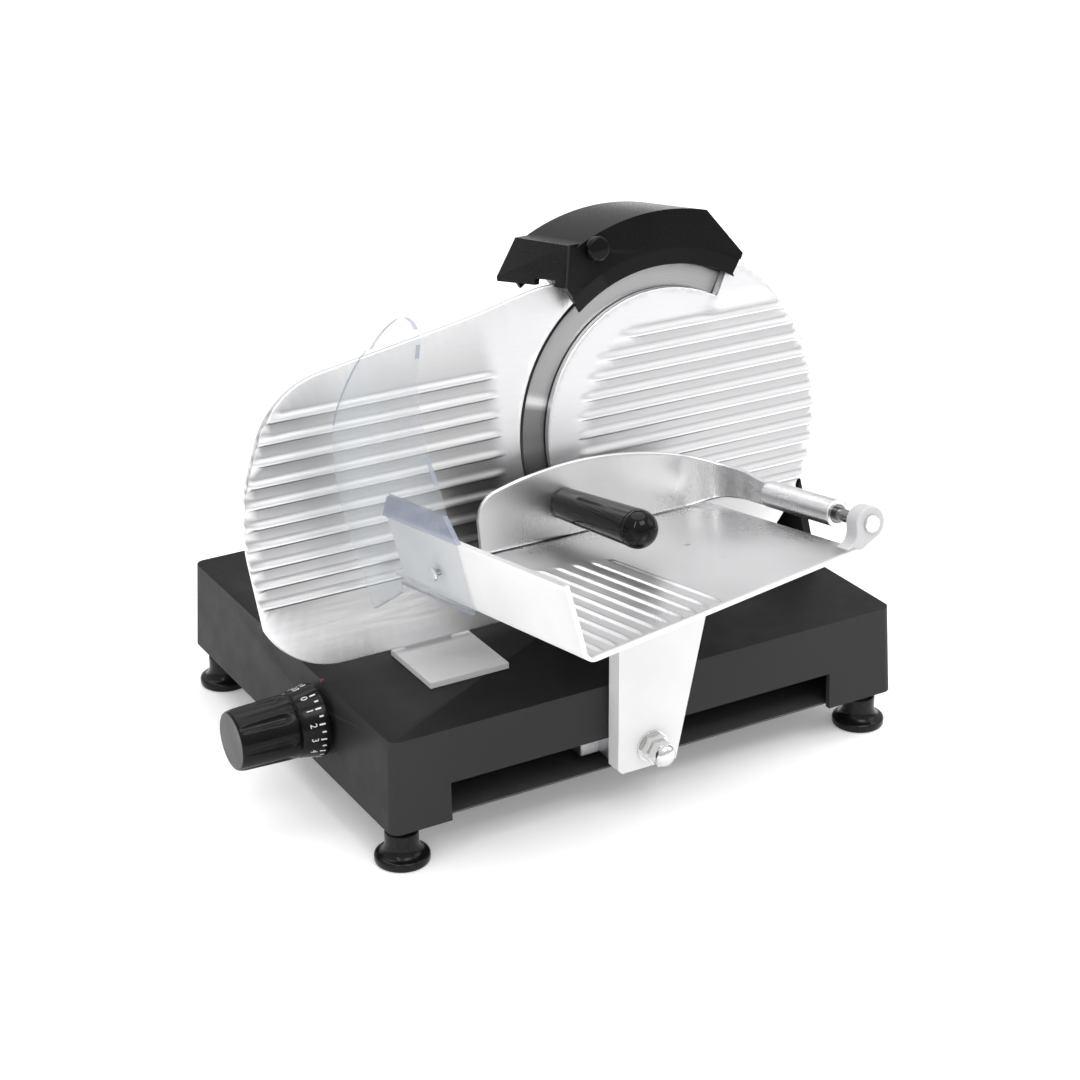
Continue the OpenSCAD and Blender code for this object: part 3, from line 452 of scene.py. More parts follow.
def lathe(profile, segments=72, ripple=None):
    """Points and faces of a closed round shape about Z; ripple(angle, row) scales the radius."""
    verts, rows = [], len(profile)
    for j, (r, z) in enumerate(profile):
        for i in range(segments):
            a = 2 * math.pi * i / segments
            k = r * (ripple(a, j) if ripple else 1)
            verts.append((k * math.cos(a), k * math.sin(a), z))
    faces = grid_faces(rows, segments, wrap=True)
    faces.append(tuple(range(segments))[::-1])
    faces.append(tuple((rows - 1) * segments + i for i in range(segments)))
    return verts, faces


def arc(cx, cy, r, a0, a1, n):
    """Points along an arc, angles in degrees."""
    step = (a1 - a0) / n
    return [(cx + r * math.cos(math.radians(a0 + step * i)), cy + r * math.sin(math.radians(a0 + step * i)))
            for i in range(n + 1)]


def outline_of(node, level):
    """The outer edge of a CAD node's flat face at a level of the blade frame's Z, as (x, y) points."""
    bm = bmesh.new()
    bm.from_mesh(nodes[node].data)
    bmesh.ops.transform(bm, matrix=TO_BLADE, verts=bm.verts)
    bmesh.ops.remove_doubles(bm, verts=bm.verts, dist=0.002)
    flat = {f for f in bm.faces if all(abs(v.co.z - level) < 0.01 for v in f.verts)}
    links = {}
    for face in flat:
        for loop in face.loops:
            if sum(f in flat for f in loop.edge.link_faces) == 1:
                links[loop.vert] = loop.link_loop_next.vert
    loops = []
    while links:
        vert = next(iter(links))
        loop = []
        while vert in links:
            loop.append((vert.co.x, vert.co.y))
            vert = links.pop(vert)
        loops.append(loop)
    bm.free()
    longest = max(loops, key=lambda p: sum(math.dist(a, b) for a, b in zip(p, p[1:])))
    if area_of(longest) < 0:
        longest.reverse()
    return longest


def area_of(points):
    return sum(a[0] * b[1] - b[0] * a[1] for a, b in zip(points, points[1:] + points[:1])) / 2


def turn_at(points, i):
    a, b, c = (Vector(points[k % len(points)]) for k in (i - 1, i, i + 1))
    return abs((b - a).angle_signed(c - b, 0))


def rounded_loop(points, step=2.5, corner=22):
    """Resamples a closed outline: gentle bends become curves and true corners stay."""
    result = []
    count = len(points)
    for i in range(count):
        p0, p1, p2, p3 = (Vector(points[(i + k) % count]) for k in (-1, 0, 1, 2))
        if turn_at(points, i) > math.radians(corner):
            p0 = 2 * p1 - p2
        if turn_at(points, (i + 1) % count) > math.radians(corner):
            p3 = 2 * p2 - p1
        length = (p2 - p1).length
        if length < 0.05:
            continue
        m1 = (p2 - p0) * length / max((p2 - p0).length, 1e-6)
        m2 = (p3 - p1) * length / max((p3 - p1).length, 1e-6)
        parts = max(1, round(length / step))
        for k in range(parts):
            t = k / parts
            h = (2 * t**3 - 3 * t**2 + 1, t**3 - 2 * t**2 + t, -2 * t**3 + 3 * t**2, t**3 - t**2)
            q = h[0] * p1 + h[1] * m1 + h[2] * p2 + h[3] * m2
            result.append((q.x, q.y))
    return result


def inset(points, distance):
    result = []
    count = len(points)
    for i in range(count):
        a, b, c = (Vector(points[k % count]) for k in (i - 1, i, i + 1))
        direction = ((b - a).normalized() + (c - b).normalized())
        if direction.length < 1e-6:
            direction = b - a
        direction.normalize()
        result.append((b.x - direction.y * distance, b.y + direction.x * distance))
    return result


def inside(points, x, y):
    hit = False
    for (x1, y1), (x2, y2) in zip(points, points[1:] + points[:1]):
        if (y1 > y) != (y2 > y) and x < (x2 - x1) * (y - y1) / (y2 - y1) + x1:
            hit = not hit
    return hit


def relief_plate(outline, levels, columns, height, back, rim=0.9):
    """A plate with a flat back, a rounded rim and a front relief height(x, y) above z = 0."""
    inner = inset(outline, rim)
    core = inset(outline, rim + 1.2)
    count = len(outline)
    points = [Vector(p) for p in outline + inner]
    edges = [(i, (i + 1) % count) for i in range(count)]
    edges += [(count + i, count + (i + 1) % count) for i in range(count)]
    for y in levels:
        previous = None
        for x in columns:
            if inside(core, x, y):
                points.append(Vector((x, y)))
                if previous is not None:
                    edges.append((previous, len(points) - 1))
                previous = len(points) - 1
            else:
                previous = None
    found, _, triangles, origins, _, _ = delaunay_2d_cdt(points, edges, [], 1, 1e-4)
    on_rim = [any(k < count for k in o) for o in origins]
    total = len(found)
    verts = [(p.x, p.y, height(p.x, p.y) - (rim if r else 0)) for p, r in zip(found, on_rim)]
    verts += [(p.x, p.y, back) for p in found]
    faces = [tuple(t) for t in triangles]
    faces += [tuple(total + i for i in reversed(t)) for t in triangles]
    used = {}
    for t in triangles:
        for a, b in zip(t, t[1:] + t[:1]):
            used[(a, b)] = True
    for a, b in used:
        if (b, a) not in used:
            faces.append((b, a, total + a, total + b))
    return verts, faces


def rib_levels(centres, half):
    """Lines across a row of ribs where their rounded section needs points."""
    steps = (-0.62, -0.54, -0.46, -0.38, -0.3, -0.1, 0.15, 0.4, 0.65, 0.85, 1.0)
    return sorted(c + half * s for c in centres for s in steps)


def rib_section(offset, half):
    """Height share across a rib: steep below its crest, a long soft slope above it."""
    t = offset / half
    return smoothstep(-0.58, -0.3, t) * (1 - smoothstep(-0.1, 1, t))


def rib_shade(offset, half):
    """Painted shade beside a rib: a thin dark line under its steep side, a soft dark band above it."""
    t = offset / half
    line = max(0.0, 1 - abs(t + 0.55) / 0.24)
    band = smoothstep(0.1, 0.7, t) * (1 - smoothstep(0.85, 1.5, t))
    return max(line, 0.55 * band)


def shade_creases(obj, front, value):
    """Stores painted shade value(x, y) of the blade frame on the front faces' points, for the material to
    darken by.
    """
    layer = obj.data.attributes.new("crease", "FLOAT", "POINT")
    for k, vert in enumerate(obj.data.vertices):
        p = TO_BLADE @ vert.co
        layer.data[k].value = value(p.x, p.y) if p.z > front else 0.0


# ---------- gauge plate ----------
def build_gauge_plate():
    low, high = blade_box("gauge_plate")
    back, thick, crest = low.z, 4.5, high.z - low.z - 4.5
    centres = [-61 + 13 * i for i in range(10)]
    rib_end, half = -121, 4.6
    outline = rounded_loop(outline_of("gauge_plate", back))

    def height(x, y):
        near = min(centres, key=lambda c: abs(c - y))
        fade = 1 - smoothstep(rib_end - 9 - half, rib_end, x + abs(y - near) * 0.8)
        return back + thick + crest * rib_section(y - near, half) * fade

    columns = [low.x + 2 + 8 * i for i in range(int((rib_end - low.x) / 8))]
    columns += [rib_end - 14 + 1.5 * i for i in range(11)] + [rib_end + 10 * i for i in range(1, 6)]
    verts, faces = relief_plate(outline, rib_levels(centres, half), sorted(columns), height, back)
    plate = new_piece("gauge_plate_sheet", verts, faces, "satin_aluminium", "gauge", ["gauge_plate"],
        smooth_angle=50)

    # painted shade beside the ribs, stronger towards the left end, and a painted reflection of the tray's
    # dark side near the blade
    def darkness(x, y):
        near = min(centres, key=lambda c: abs(c - y))
        ribs = rib_shade(y - near, half) * (1 - smoothstep(rib_end - 14, rib_end, x))
        ribs *= 0.75 + 0.25 * smoothstep(-240, -290, x)
        tray_side_painted_reflection = 0.6 * smoothstep(-205, -150, x) * (1 - smoothstep(-16, 16, y)) * smoothstep(-92, -62, y)
        return min(1.0, ribs + tray_side_painted_reflection)

    shade_creases(plate, back + thick / 2, darkness)


# ---------- blade cover ----------
def build_blade_cover():
    low, high = blade_box("blade_cover")
    back, thick = high.z - 5.9, 4.5
    lobe = high.x
    centres = [66 - 12.2 * i for i in range(11)]
    half, start_r = 4.9, 73
    crest = high.z - back - thick
    step_angle, step_crest = math.radians(61), 1.4
    outline = rounded_loop(outline_of("blade_cover", back), step=1.6)

    def nearest(y):
        return min(centres, key=lambda c: abs(c - y))

    scalloped = []
    for x, y in outline:
        r, a = math.hypot(x, y), math.atan2(y, x)
        if r > lobe - 2 and centres[-1] - 8 < y < centres[0] + 6:
            dip = 1 - rib_section(y - nearest(y), half + 1.2)
            r -= 1.3 * dip
        scalloped.append((r * math.cos(a), r * math.sin(a)))

    def height(x, y):
        near = nearest(y)
        reach = math.sqrt(max(start_r**2 - near**2, 0))
        begin = smoothstep(-reach, -reach + 9, x + abs(y - near) * -0.6)
        relief = crest * rib_section(y - near, half) * begin
        beyond = x * math.sin(step_angle) - y * math.cos(step_angle)
        raised = step_crest * smoothstep(-1.5, 1.0, beyond) * smoothstep(56, 84, y)
        return back + thick + max(relief, min(raised, crest))

    columns = [-92 + 3 * i for i in range(14)] + [-50 + 6 * i for i in range(28)]
    columns += [lobe - 4, lobe - 2.5]
    levels = rib_levels(centres, half) + [73, 76, 79, 82, 85, 88, 91, 94, 97, 100]
    verts, faces = relief_plate(scalloped, sorted(levels), sorted(columns), height, back)
    disc = new_piece("blade_cover_disc", verts, faces, "satin_aluminium", "machine_base", ["blade_cover"],
        smooth_angle=50)

    # painted shade beside the ribs and a painted dark patch on the lower left, near the blade's ring
    def darkness(x, y):
        near = nearest(y)
        reach = math.sqrt(max(start_r**2 - near**2, 0))
        ribs = rib_shade(y - near, half) * smoothstep(-reach + 4, -reach + 14, x)
        return 0.6 * ribs + 0.22 * (1 - smoothstep(-84, -58, x)) * (1 - smoothstep(-10, 40, y))

    shade_creases(disc, back + thick / 2, darkness)
    bore, hub_r = 3.2, 10
    profile = [(bore, low.z), (hub_r - 0.4, low.z), (hub_r, low.z + 0.4), (hub_r, back + 1), (bore, back + 1)]
    hub, hub_faces = lathe(profile, 48)
    new_piece("blade_cover_hub", hub, hub_faces, "cast_aluminium", "machine_base")


# ---------- blade ----------
def build_blade():
    source = nodes["blade"].data
    bm = bmesh.new()
    bm.from_mesh(source)
    bmesh.ops.remove_doubles(bm, verts=bm.verts, dist=2e-6)
    turn = Matrix(BLADE)
    unit = turn @ Matrix.Scale(1 / MM, 4)
    bmesh.ops.transform(bm, matrix=unit.inverted(), verts=bm.verts)
    mesh = bpy.data.meshes.new("blade_disc")
    bm.to_mesh(mesh)
    bm.free()
    blade = bpy.data.objects.new("blade_disc", mesh)
    bpy.context.scene.collection.objects.link(blade)
    mesh.materials.append(MATERIALS["blade_steel"])
    blade.matrix_world = unit
    finish_mesh(blade, 30)
    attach(blade, "blade_rotor")
    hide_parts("blade")


# ---------- meat tray ----------
TRAY_LEFT, TRAY_RIGHT, TRAY_TOP, TRAY_THICK = -222.0, 14.0, -53.7, 3.0
FLANGE_H, FLANGE_LEAN, FLANGE_BACK, BEND = 45.0, 8.0, 36.0, 7.0
DEPTH_LEFT, DEPTH_RIGHT, TRAY_BACK = 258.0, 192.0, 10.0


def tray_section():
    """(x, y) of the tray's upper face from the flange's top to the right edge, with rib heights."""
    top = (TRAY_LEFT + TRAY_THICK - FLANGE_LEAN, TRAY_TOP + FLANGE_H)
    foot = (TRAY_LEFT + TRAY_THICK - 0.6, TRAY_TOP + BEND)
    points = [(top[0] + (foot[0] - top[0]) * t / 8, top[1] + (foot[1] - top[1]) * t / 8) for t in range(9)]
    points += arc(foot[0] + BEND, foot[1], BEND, 188, 270, 8)[1:]
    centres = [TRAY_LEFT + 16.5 + 11 * i for i in range(10)]
    half = 2.7
    xs = []
    for c in centres:
        xs += [c + half * s for s in (-1, -0.7, -0.4, 0, 0.4, 0.7, 1)]
    xs += list(np.arange(centres[-1] + 8, TRAY_RIGHT - 1, 6)) + [TRAY_RIGHT - 0.8, TRAY_RIGHT]
    points += [(x, TRAY_TOP) for x in xs]
    return points, centres, half


def build_tray():
    section, centres, half = tray_section()
    rows = [0, 0.003, 0.008, 0.015] + list(np.linspace(0.03, 0.985, 64)) + [0.992, 0.997, 1]
    span = TRAY_RIGHT - TRAY_LEFT
    verts = []
    for t in rows:
        for x, y in section:
            share = max(0.0, min(1.0, (x - TRAY_LEFT) / span))
            near_end = DEPTH_LEFT + (DEPTH_RIGHT - DEPTH_LEFT) * share
            rise = smoothstep(TRAY_TOP, TRAY_TOP + BEND, y)
            far_end = TRAY_BACK + (FLANGE_BACK - TRAY_BACK) * rise
            w = far_end + (near_end - far_end) * t
            lift = 0.0
            if y <= TRAY_TOP + 0.01:
                i = min(range(len(centres)), key=lambda k: abs(centres[k] - x))
                start = 66 + 3.0 * i
                fade = smoothstep(start, start + 6, w) * (1 - smoothstep(near_end - 9, near_end - 3, w))
                lift = 1.1 * rib_section(x - centres[i], half) * fade
            edge = 0.8 * (1 - smoothstep(0, 1.0, (1 - t) * (near_end - far_end)))
            verts.append((x, y + lift - edge, w))
    upper = len(verts)
    columns = len(section)
    offsets = []
    for i in range(columns):
        a, b = Vector(section[max(i - 1, 0)]), Vector(section[min(i + 1, columns - 1)])
        d = (b - a).normalized()
        offsets.append((d.y * TRAY_THICK, -d.x * TRAY_THICK))
    for j, t in enumerate(rows):
        for i in range(columns):
            x, y = section[i]
            verts.append((x + offsets[i][0], y + offsets[i][1], verts[j * columns + i][2]))
    faces = grid_faces(len(rows), columns)
    faces += [tuple(upper + k for k in reversed(f)) for f in grid_faces(len(rows), columns)]
    last = (len(rows) - 1) * columns
    for i in range(columns - 1):
        faces.append((i + 1, i, upper + i, upper + i + 1))
        faces.append((last + i, last + i + 1, upper + last + i + 1, upper + last + i))
    for j in range(len(rows) - 1):
        a, b = j * columns, (j + 1) * columns
        faces.append((a, b, upper + b, upper + a))
        faces.append((b + columns - 1, a + columns - 1, upper + a + columns - 1, upper + b + columns - 1))
    tray = new_piece("tray_pan", verts, faces, "polished_aluminium", "carriage", ["meat_tray"],
        smooth_angle=50, extra=[MATERIALS["coated_aluminium"]])
    for face in tray.data.polygons:
        normal = TO_BLADE.to_3x3() @ face.normal
        centre = TO_BLADE @ face.center
        outer = normal.normalized().x < -0.6 and centre.x < TRAY_LEFT + 6
        rim = abs(normal.normalized().z) > 0.7
        under = normal.normalized().y < -0.6
        if outer or rim or under:
            face.material_index = 1


def prism(outline, z0, z1, bevel, name, slot, body, material):
    """An outline in the blade frame extruded between two levels, with rounded edges."""
    count = len(outline)
    verts = [(x, y, z0) for x, y in outline] + [(x, y, z1) for x, y in outline]
    faces = [tuple(range(count))[::-1], tuple(range(count, 2 * count))]
    faces += [(i, (i + 1) % count, count + (i + 1) % count, count + i) for i in range(count)]
    obj = new_piece(name, verts, faces, slot, body)
    obj.data.materials[0] = material
    rounding = obj.modifiers.new("edges", "BEVEL")
    rounding.width = bevel * MM
    rounding.segments = 3
    rounding.limit_method = "ANGLE"
    rounding.angle_limit = math.radians(CORNER_ANGLE)
    obj.modifiers.move(1, 0)


ROD = TO_BLADE @ Vector(joints["pusher_swing"]["pos_m"])


def build_lug():
    rod_end = blade_box("pusher_rod")[1].z
    z1, z0 = rod_end + 1, rod_end - 11
    eye_r, fillet_r = 10.8, 9
    ring = arc(ROD.x, ROD.y, eye_r, -78, 170, 26)
    outline = [(TRAY_RIGHT - 12, TRAY_TOP - TRAY_THICK), (TRAY_RIGHT + 6, TRAY_TOP - TRAY_THICK + 0.4)]
    fillet = arc(ROD.x - eye_r - fillet_r, TRAY_TOP + 9.4, fillet_r, 0, -80, 6)
    outline += ring + fillet
    prism(outline, z0, z1, 1.2, "rod_lug", "coated_aluminium", "carriage", LUG_SILVER)


# ---------- pusher ----------
def build_pusher():
    low = blade_box("pusher_plate")[0]
    left, back, thick, bend_r = low.x, low.z, 3.2, 35.0
    arch_r, arch_x, crown = 260.0, -82.0, TRAY_TOP + 49
    bend_x = ROD.x - bend_r
    plan = [(left + 1.5 * i, back) for i in range(4)]
    plan += [(x, back) for x in np.linspace(left + 8, bend_x - 2, 34)]
    plan += [(x, y) for x, y in arc(bend_x, back + bend_r, bend_r, -90, 0, 22)]
    plan += [(ROD.x, back + bend_r + d) for d in (4, 9, 14, 19, 24)]
    lengths = [0.0]
    for a, b in zip(plan, plan[1:]):
        lengths.append(lengths[-1] + math.dist(a, b))
    corner_r = 13.0

    def top(x, w):
        y = crown - arch_r + math.sqrt(max(arch_r**2 - (x - arch_x) ** 2, 1))
        near_left = x - left
        if near_left < corner_r:
            y = min(y, y - corner_r + math.sqrt(max(corner_r**2 - (corner_r - near_left) ** 2, 0)))
        if w > back + bend_r - 4:
            y = y + (ROD.y + 8.2 - y) * smoothstep(back + bend_r - 4, back + bend_r + 24, w)
        return y

    def bottom(x, w):
        y = TRAY_TOP + 0.6
        lift = smoothstep(-2, ROD.x - 6, x) * 4.2
        return y + lift

    across = [0, 0.012, 0.03, 0.06] + list(np.linspace(0.1, 0.9, 14)) + [0.94, 0.97, 0.988, 1]
    count = len(plan)
    verts = []
    normals = []
    for i in range(count):
        a, b = Vector(plan[max(i - 1, 0)]), Vector(plan[min(i + 1, count - 1)])
        d = (b - a).normalized()
        normals.append((-d.y, d.x))
    for side in (0, 1):
        for t in across:
            for (x, w), n in zip(plan, normals):
                y0, y1 = bottom(x, w), top(x, w)
                y = y0 + (y1 - y0) * t
                rim = min(t, 1 - t) * (y1 - y0)
                pull = 0.9 * (1 - min(1.0, rim / 1.1)) ** 2
                depth = thick - pull if side else pull
                verts.append((x + n[0] * depth, y, w + n[1] * depth))
    half = len(across) * count
    faces = grid_faces(len(across), count)
    faces += [tuple(half + k for k in reversed(f)) for f in grid_faces(len(across), count)]
    last = (len(across) - 1) * count
    for i in range(count - 1):
        faces.append((i + 1, i, half + i, half + i + 1))
        faces.append((last + i, last + i + 1, half + last + i + 1, half + last + i))
    for j in range(len(across) - 1):
        a, b = j * count, (j + 1) * count
        faces.append((a, b, half + b, half + a))
        faces.append((b + count - 1, a + count - 1, half + a + count - 1, half + b + count - 1))
    new_piece("pusher_blade", verts, faces, "polished_aluminium", "pusher", ["pusher_plate"], smooth_angle=60)


def build_handle():
    low, high = blade_box("pusher_handle")
    axis = ((low.x + high.x) / 2, (low.y + high.y) / 2)
    base_z = low.z + 3.2
    length = high.z - base_z
    dome = 12.6
    profile = [(4, base_z - 3.2), (4, base_z), (9.4, base_z), (10.2, base_z + 0.8), (10.8, base_z + 3)]
    profile += [(10.8 + (dome - 10.8) * t, base_z + 3 + (length - 17) * t) for t in (0.25, 0.5, 0.75, 1)]
    tip = base_z + length
    profile += [(12.1, tip - 13.3), (12.1, tip - 12.9), (12.5, tip - 12.5)]
    first = len(profile)
    profile += [(dome * math.cos(math.radians(a)), tip - dome + dome * math.sin(math.radians(a)))
                for a in (4, 9, 14, 20, 26, 32, 40, 48, 56, 64, 72, 80, 87)]
    teeth = 44

    def ripple(angle, row):
        below = math.sin(angle) < -0.55
        if below and first + 1 <= row <= first + 4:
            return 1 - 0.035 * (0.5 + 0.5 * math.cos(teeth * angle))
        return 1.0

    verts, faces = lathe(profile, 264, ripple)
    verts = [(x + axis[0], y + axis[1], z) for x, y, z in verts]
    new_piece("handle_grip", verts, faces, "black_bakelite", "pusher", ["pusher_handle"], smooth_angle=35)


# ---------- guard ----------
def build_guard():
    guard = softened("hand_guard", 1.0, "guard_shell")
    guard.data.materials.append(GUARD_SIDE_PAINTED_SHADE)
    guard.data.materials.append(GUARD_EDGE_PAINTED_SHADE)
    # painted shade: the rounded edges take the dark edge material
    guard.modifiers["edges"].material = 2
    flange_slope = Vector((1, FLANGE_LEAN / (FLANGE_H + TRAY_THICK), 0)).normalized()
    turn = TO_BLADE.to_3x3()
    # painted shade: side and bend faces take the grey-blue side material
    for face in guard.data.polygons:
        n = (turn @ face.normal).normalized()
        if abs(n.dot(flange_slope)) < 0.93 and abs(n.z) < 0.93:
            face.material_index = 1


# ---------- feet ----------
def build_feet():
    for name in ("foot_front_left", "foot_front_right", "foot_rear_left", "foot_rear_right"):
        low, high = (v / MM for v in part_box(name))
        centre = (low + high) / 2
        r = (high.x - low.x) / 2
        shoulder, neck, rise = r - 1.4, 11, 8.4
        profile = [(r - 1.6, 0), (r - 0.5, 0.5), (r, 1.6), (r, 4.2), (r - 0.4, 5.2), (shoulder, 6.0)]
        for a in (math.radians(d) for d in (12, 24, 36, 48, 60, 72, 82, 90)):
            profile.append((shoulder - (shoulder - neck) * math.sin(a), 6.0 + rise * (1 - math.cos(a))))
        profile += [(neck, 15.4), (neck, 20.6), (10.6, 21.5), (9.8, 22), (4.1, 22)]
        verts, faces = lathe(profile, 72)
        verts = [(x + centre.x, y + centre.y, z) for x, y, z in verts]
        new_piece(f"{name}_pad", verts, faces, "black_foot", "machine_base", [name],
            matrix=Matrix.Scale(MM, 4), smooth_angle=40)


# ---------- thickness knob ----------
KNOB = Vector(joints["thickness_turn"]["pos_m"]) / MM
KNOB_FRAME = Matrix.Scale(MM, 4) @ Matrix((
    (0, 0, -1, 0),
    (0, 1, 0, KNOB.y),
    (1, 0, 0, KNOB.z),
    (0, 0, 0, 1),
))


def build_knob():
    low, high = (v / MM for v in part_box("thickness_knob"))
    base = -high.x
    length = high.x - low.x
    skirt, tip = (high.y - low.y) / 2, 19.5
    rows = [(skirt - 0.4, 0), (skirt, 0.4), (skirt, 2.8)]
    rows += [(skirt - 2.5 * t, 3 + 14 * t) for t in (0.2, 0.4, 0.6, 0.8, 1)]
    rows += [(skirt - 3, 17.8), (skirt - 3.4, 18.2), (skirt - 3.3, 19)]
    body_z = [20, 21, 22, 23, 24, 25.5, 27, 29, 32, 36, 40, 45, 50, 54]
    rows += [(skirt - 2.8 + (tip + 0.6 - skirt + 2.8) * (z - 20) / 34, z) for z in body_z]
    rows += [(tip + 0.3, length - 2.6), (tip, length - 1.4), (tip - 0.5, length - 0.5), (tip - 1.3, length)]
    segments = 240
    flutes, flute_r = 8, 5.6
    verts = []
    for r, z in rows:
        for i in range(segments):
            a = 2 * math.pi * i / segments
            k = r
            if z > 19.5:
                phi = (a + math.pi / flutes) % (2 * math.pi / flutes) - math.pi / flutes
                ramp = smoothstep(20, 29, z)
                centre = tip + 5.4 + 3.4 * (1 - ramp) ** 1.5
                reach = centre * math.sin(phi)
                if abs(reach) < flute_r:
                    k = min(r, centre * math.cos(phi) - math.sqrt(flute_r**2 - reach**2))
            verts.append((k * math.cos(a), k * math.sin(a), base + z))
    faces = grid_faces(len(rows), segments, wrap=True)
    faces.append(tuple(range(segments))[::-1])
    last = (len(rows) - 1) * segments
    faces.append(tuple(last + i for i in range(segments)))
    knob = new_piece("knob_grip", verts, faces, "black_bakelite", "dial", ["thickness_knob"],
        matrix=KNOB_FRAME, smooth_angle=38, extra=[KNOB_END_PAINTED_SHEEN])
    knob.data.materials[0] = KNOB_BLACK
    # painted sheen: the flat end face takes the lighter grey
    for face in knob.data.polygons:
        if face.normal.x < -0.99 and len(face.vertices) > 20:
            face.material_index = 1
    build_dial_marks(base, skirt)


def build_dial_marks(base, skirt):
    """Ticks and the numbers 0 to 13 wrapped round the skirt, as shallow raised marks."""
    proud = 0.12
    slope = 2.5 / 14

    def on_skirt(angle, z):
        r = skirt + proud - slope * max(z - 3, 0)
        return (r * math.cos(angle), r * math.sin(angle), base + z)

    verts, faces = [], []

    def quad(angle, half, z0, z1):
        start = len(verts)
        for a, z in ((-half, z0), (half, z0), (half, z1), (-half, z1)):
            verts.append(on_skirt(angle + a, z))
        faces.append((start, start + 1, start + 2, start + 3))

    numbers = 13
    step = math.radians(-25)
    zero = math.radians(-20)
    for i in range(2 * numbers + 1):
        quad(zero + step * i / 2, 0.022, 3.6, 6.2 if i % 2 else 7.4)
    for value in range(numbers + 1):
        text = bpy.data.curves.new(f"number_{value}", "FONT")
        text.body = str(value)
        text.size = 6.4
        text.align_x = "CENTER"
        text.resolution_u = 3
        shape = bpy.data.objects.new(f"number_{value}", text)
        bpy.context.scene.collection.objects.link(shape)
        bpy.context.view_layer.update()
        mesh = bpy.data.meshes.new_from_object(shape.evaluated_get(bpy.context.evaluated_depsgraph_get()))
        start = len(verts)
        for v in mesh.vertices:
            verts.append(on_skirt(zero + step * value - v.co.x / skirt, 13.2 - v.co.y))
        faces.extend(tuple(start + k for k in p.vertices) for p in mesh.polygons)
        bpy.data.objects.remove(shape)
        bpy.data.meshes.remove(mesh)
    marks = new_piece("dial_marks", verts, faces, "black_bakelite", "dial", matrix=KNOB_FRAME)
    marks.data.materials[0] = DIAL_WHITE
    thick = marks.modifiers.new("body", "SOLIDIFY")
    thick.thickness = 0.2 * MM
    thick.offset = 0
    marks.modifiers.move(1, 0)


def build_index():
    """Painted mark on the base's upper edge that the dial is read against."""
    low, high = (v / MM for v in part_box("base_housing"))
    edge = (high.x - low.x) / 2 - 3
    x0, y0, z0 = -edge - 0.45, KNOB.y - 1.6, high.z - 2.2
    corners = ((0, 0), (1.9, 0), (1.9, 3.2), (0, 3.2))
    verts = [(x0 + dx, y0 + dy, z0 + dz) for dz in (0, 2.4) for dx, dy in corners]
    faces = [(3, 2, 1, 0), (4, 5, 6, 7)] + [(i, (i + 1) % 4, 4 + (i + 1) % 4, 4 + i) for i in range(4)]
    mark = new_piece("dial_index", verts, faces, "black_paint", "machine_base", matrix=Matrix.Scale(MM, 4))
    mark.data.materials[0] = INDEX_RED
    rounding = mark.modifiers.new("edges", "BEVEL")
    rounding.width = 0.25 * MM
    rounding.segments = 2
    mark.modifiers.move(1, 0)


# ---------- what the CAD already shapes, with rounded edges ----------
SOFT_EDGES = {
    "base_housing": 1.4, "body_column": 0.8, "blade_housing": 0.8, "rear_cover": 0.7, "bottom_cover": 0.3,
    "carriage_arm": 1.3, "gauge_foot": 1.0, "clamp_bolt": 0.6, "sharpener_cover": 0.9,
    "sharpener_knob": 0.5, "pusher_sleeve": 0.7, "rod_screw": 0.5, "cable_gland": 0.6,
    "switch_plate": 0.8, "on_button": 0.6, "off_button": 0.6, "cover_knob": 0.7,
    "rear_cover_screws": 0.4, "guard_screw": 0.45, "tray_screws": 0.4,
    "foot_studs": 0.5, "carriage_block": 0.8, "gauge_support": 0.7, "gauge_bracket": 0.4,
    "motor": 0.5, "knob_bushing": 0.4,
}


# ---------- stage ----------
def build_stage():
    mesh = bpy.data.meshes.new("floor")
    size = 30.0
    corners = [(-size, -size, 0), (size, -size, 0), (size, size, 0), (-size, size, 0)]
    mesh.from_pydata(corners, [], [(0, 1, 2, 3)])
    floor = bpy.data.objects.new("floor", mesh)
    bpy.context.scene.collection.objects.link(floor)
    s = Surface("floor_white")
    s.colour(s.blend_colour(s.noise(3, 2), (0.9, 0.9, 0.9), (0.93, 0.93, 0.93)))
    s.set(Roughness=0.9, Emission_Color=(1, 1, 1, 1), Emission_Strength=0.2)
    mesh.materials.append(s.mat)


def area_light(name, place, target, size, power):
    light = bpy.data.lights.new(name, "AREA")
    light.shape = "RECTANGLE"
    light.size, light.size_y = size
    light.energy = power
    obj = bpy.data.objects.new(name, light)
    bpy.context.scene.collection.objects.link(obj)
    obj.location = place
    obj.rotation_euler = (Vector(target) - Vector(place)).to_track_quat("-Z", "Y").to_euler()


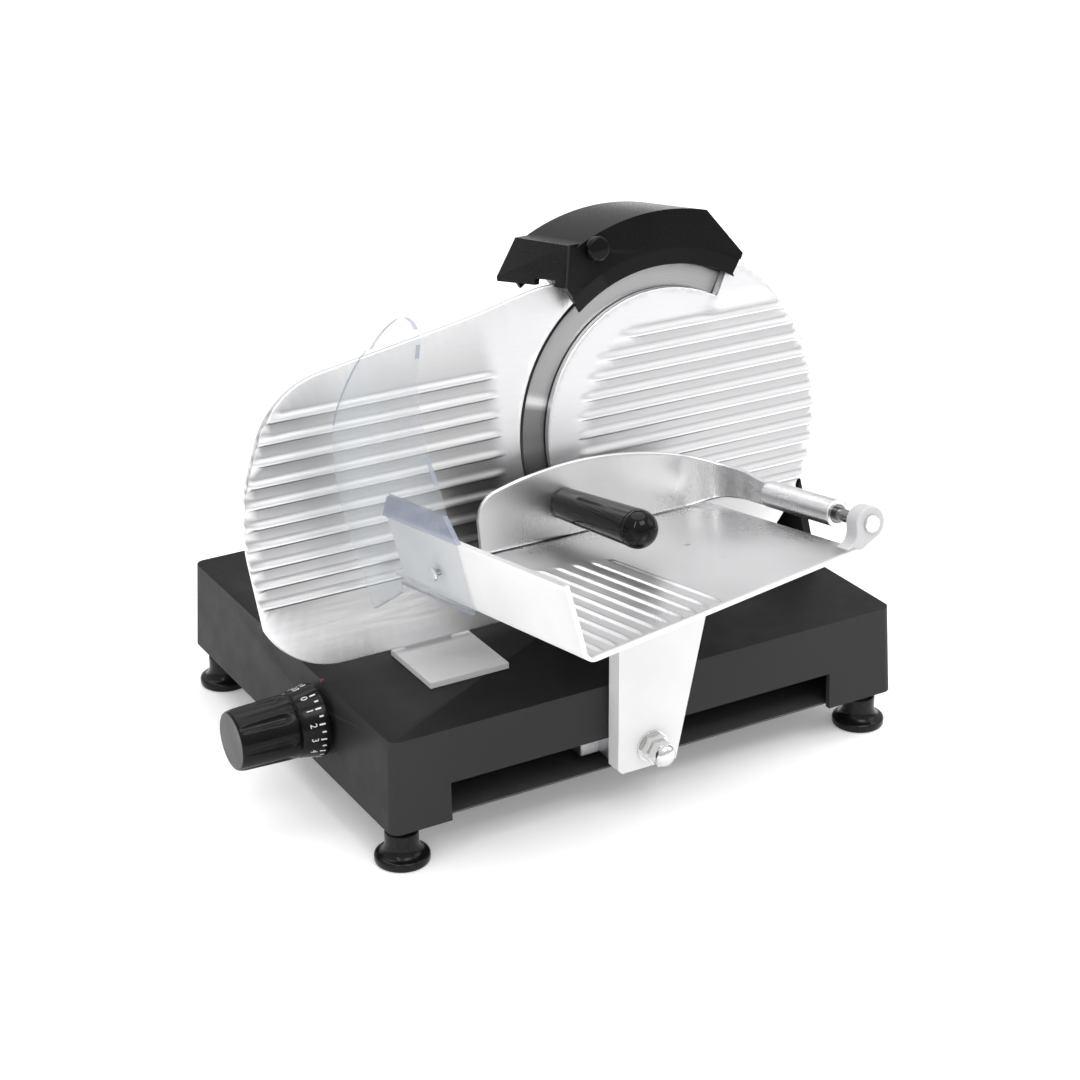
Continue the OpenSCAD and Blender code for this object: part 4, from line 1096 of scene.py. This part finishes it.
def build_light():
    world = bpy.data.worlds.new("studio")
    bpy.context.scene.world = world
    world.use_nodes = True
    tree = world.node_tree
    background = tree.nodes["Background"]
    coords = tree.nodes.new("ShaderNodeTexCoord")
    split = tree.nodes.new("ShaderNodeSeparateXYZ")
    ramp = tree.nodes.new("ShaderNodeValToRGB")
    tree.links.new(coords.outputs["Generated"], split.inputs[0])
    tree.links.new(split.outputs["Z"], ramp.inputs["Fac"])
    tree.links.new(ramp.outputs["Color"], background.inputs["Color"])
    stops = ramp.color_ramp.elements
    stops[0].position, stops[0].color = 0.0, (0.55, 0.55, 0.56, 1)
    stops[1].position, stops[1].color = 0.6, (1, 1, 1, 1)
    background.inputs["Strength"].default_value = 0.85
    centre = (cad_low + cad_high) / 2
    area_light("key", (0.1, -1.3, 1.8), centre, (1.0, 0.8), 13)
    area_light("fill", (1.5, -0.9, 1.1), centre, (1.0, 1.0), 4)
    area_light("strip", (-0.9, -0.7, 1.3), centre, (0.06, 1.0), 3)
    sun = bpy.data.lights.new("overhead", "SUN")
    sun.energy, sun.angle = 1.5, math.radians(60)
    lamp = bpy.data.objects.new("overhead", sun)
    bpy.context.scene.collection.objects.link(lamp)
    lamp.rotation_euler = (math.radians(-14), math.radians(8), 0)


def build_camera():
    """The photograph's view: from the front and 30 degrees to the left, looking down by 24 degrees."""
    place = (-0.7416, -1.3009, 0.7921)
    camera = bpy.data.cameras.new("camera")
    camera.sensor_width = 36
    camera.lens = 79.17
    camera.clip_start, camera.clip_end = 0.05, 50
    obj = bpy.data.objects.new("camera", camera)
    bpy.context.scene.collection.objects.link(obj)
    azimuth, elevation, roll = math.radians(-29.83), math.radians(24.0), math.radians(-0.39)
    turn = Matrix.Rotation(azimuth, 4, "Z") @ Matrix.Rotation(math.pi / 2 - elevation, 4, "X")
    turn = turn @ Matrix.Rotation(roll, 4, "Z")
    obj.matrix_world = Matrix.Translation(place) @ turn
    bpy.context.scene.camera = obj


for node, obj in nodes.items():
    for k in range(max(1, len(obj.material_slots))):
        if k < len(obj.material_slots):
            obj.material_slots[k].material = MATERIALS[slot_of[node]]
        else:
            obj.data.materials.append(MATERIALS[slot_of[node]])

build_camera()
build_gauge_plate()
build_blade_cover()
build_blade()
build_tray()
build_lug()
build_pusher()
build_handle()
build_guard()
build_feet()
build_knob()
build_index()
for node, width in SOFT_EDGES.items():
    softened(node, width)
build_stage()
build_light()
bpy.context.scene.view_settings.view_transform = "Standard"
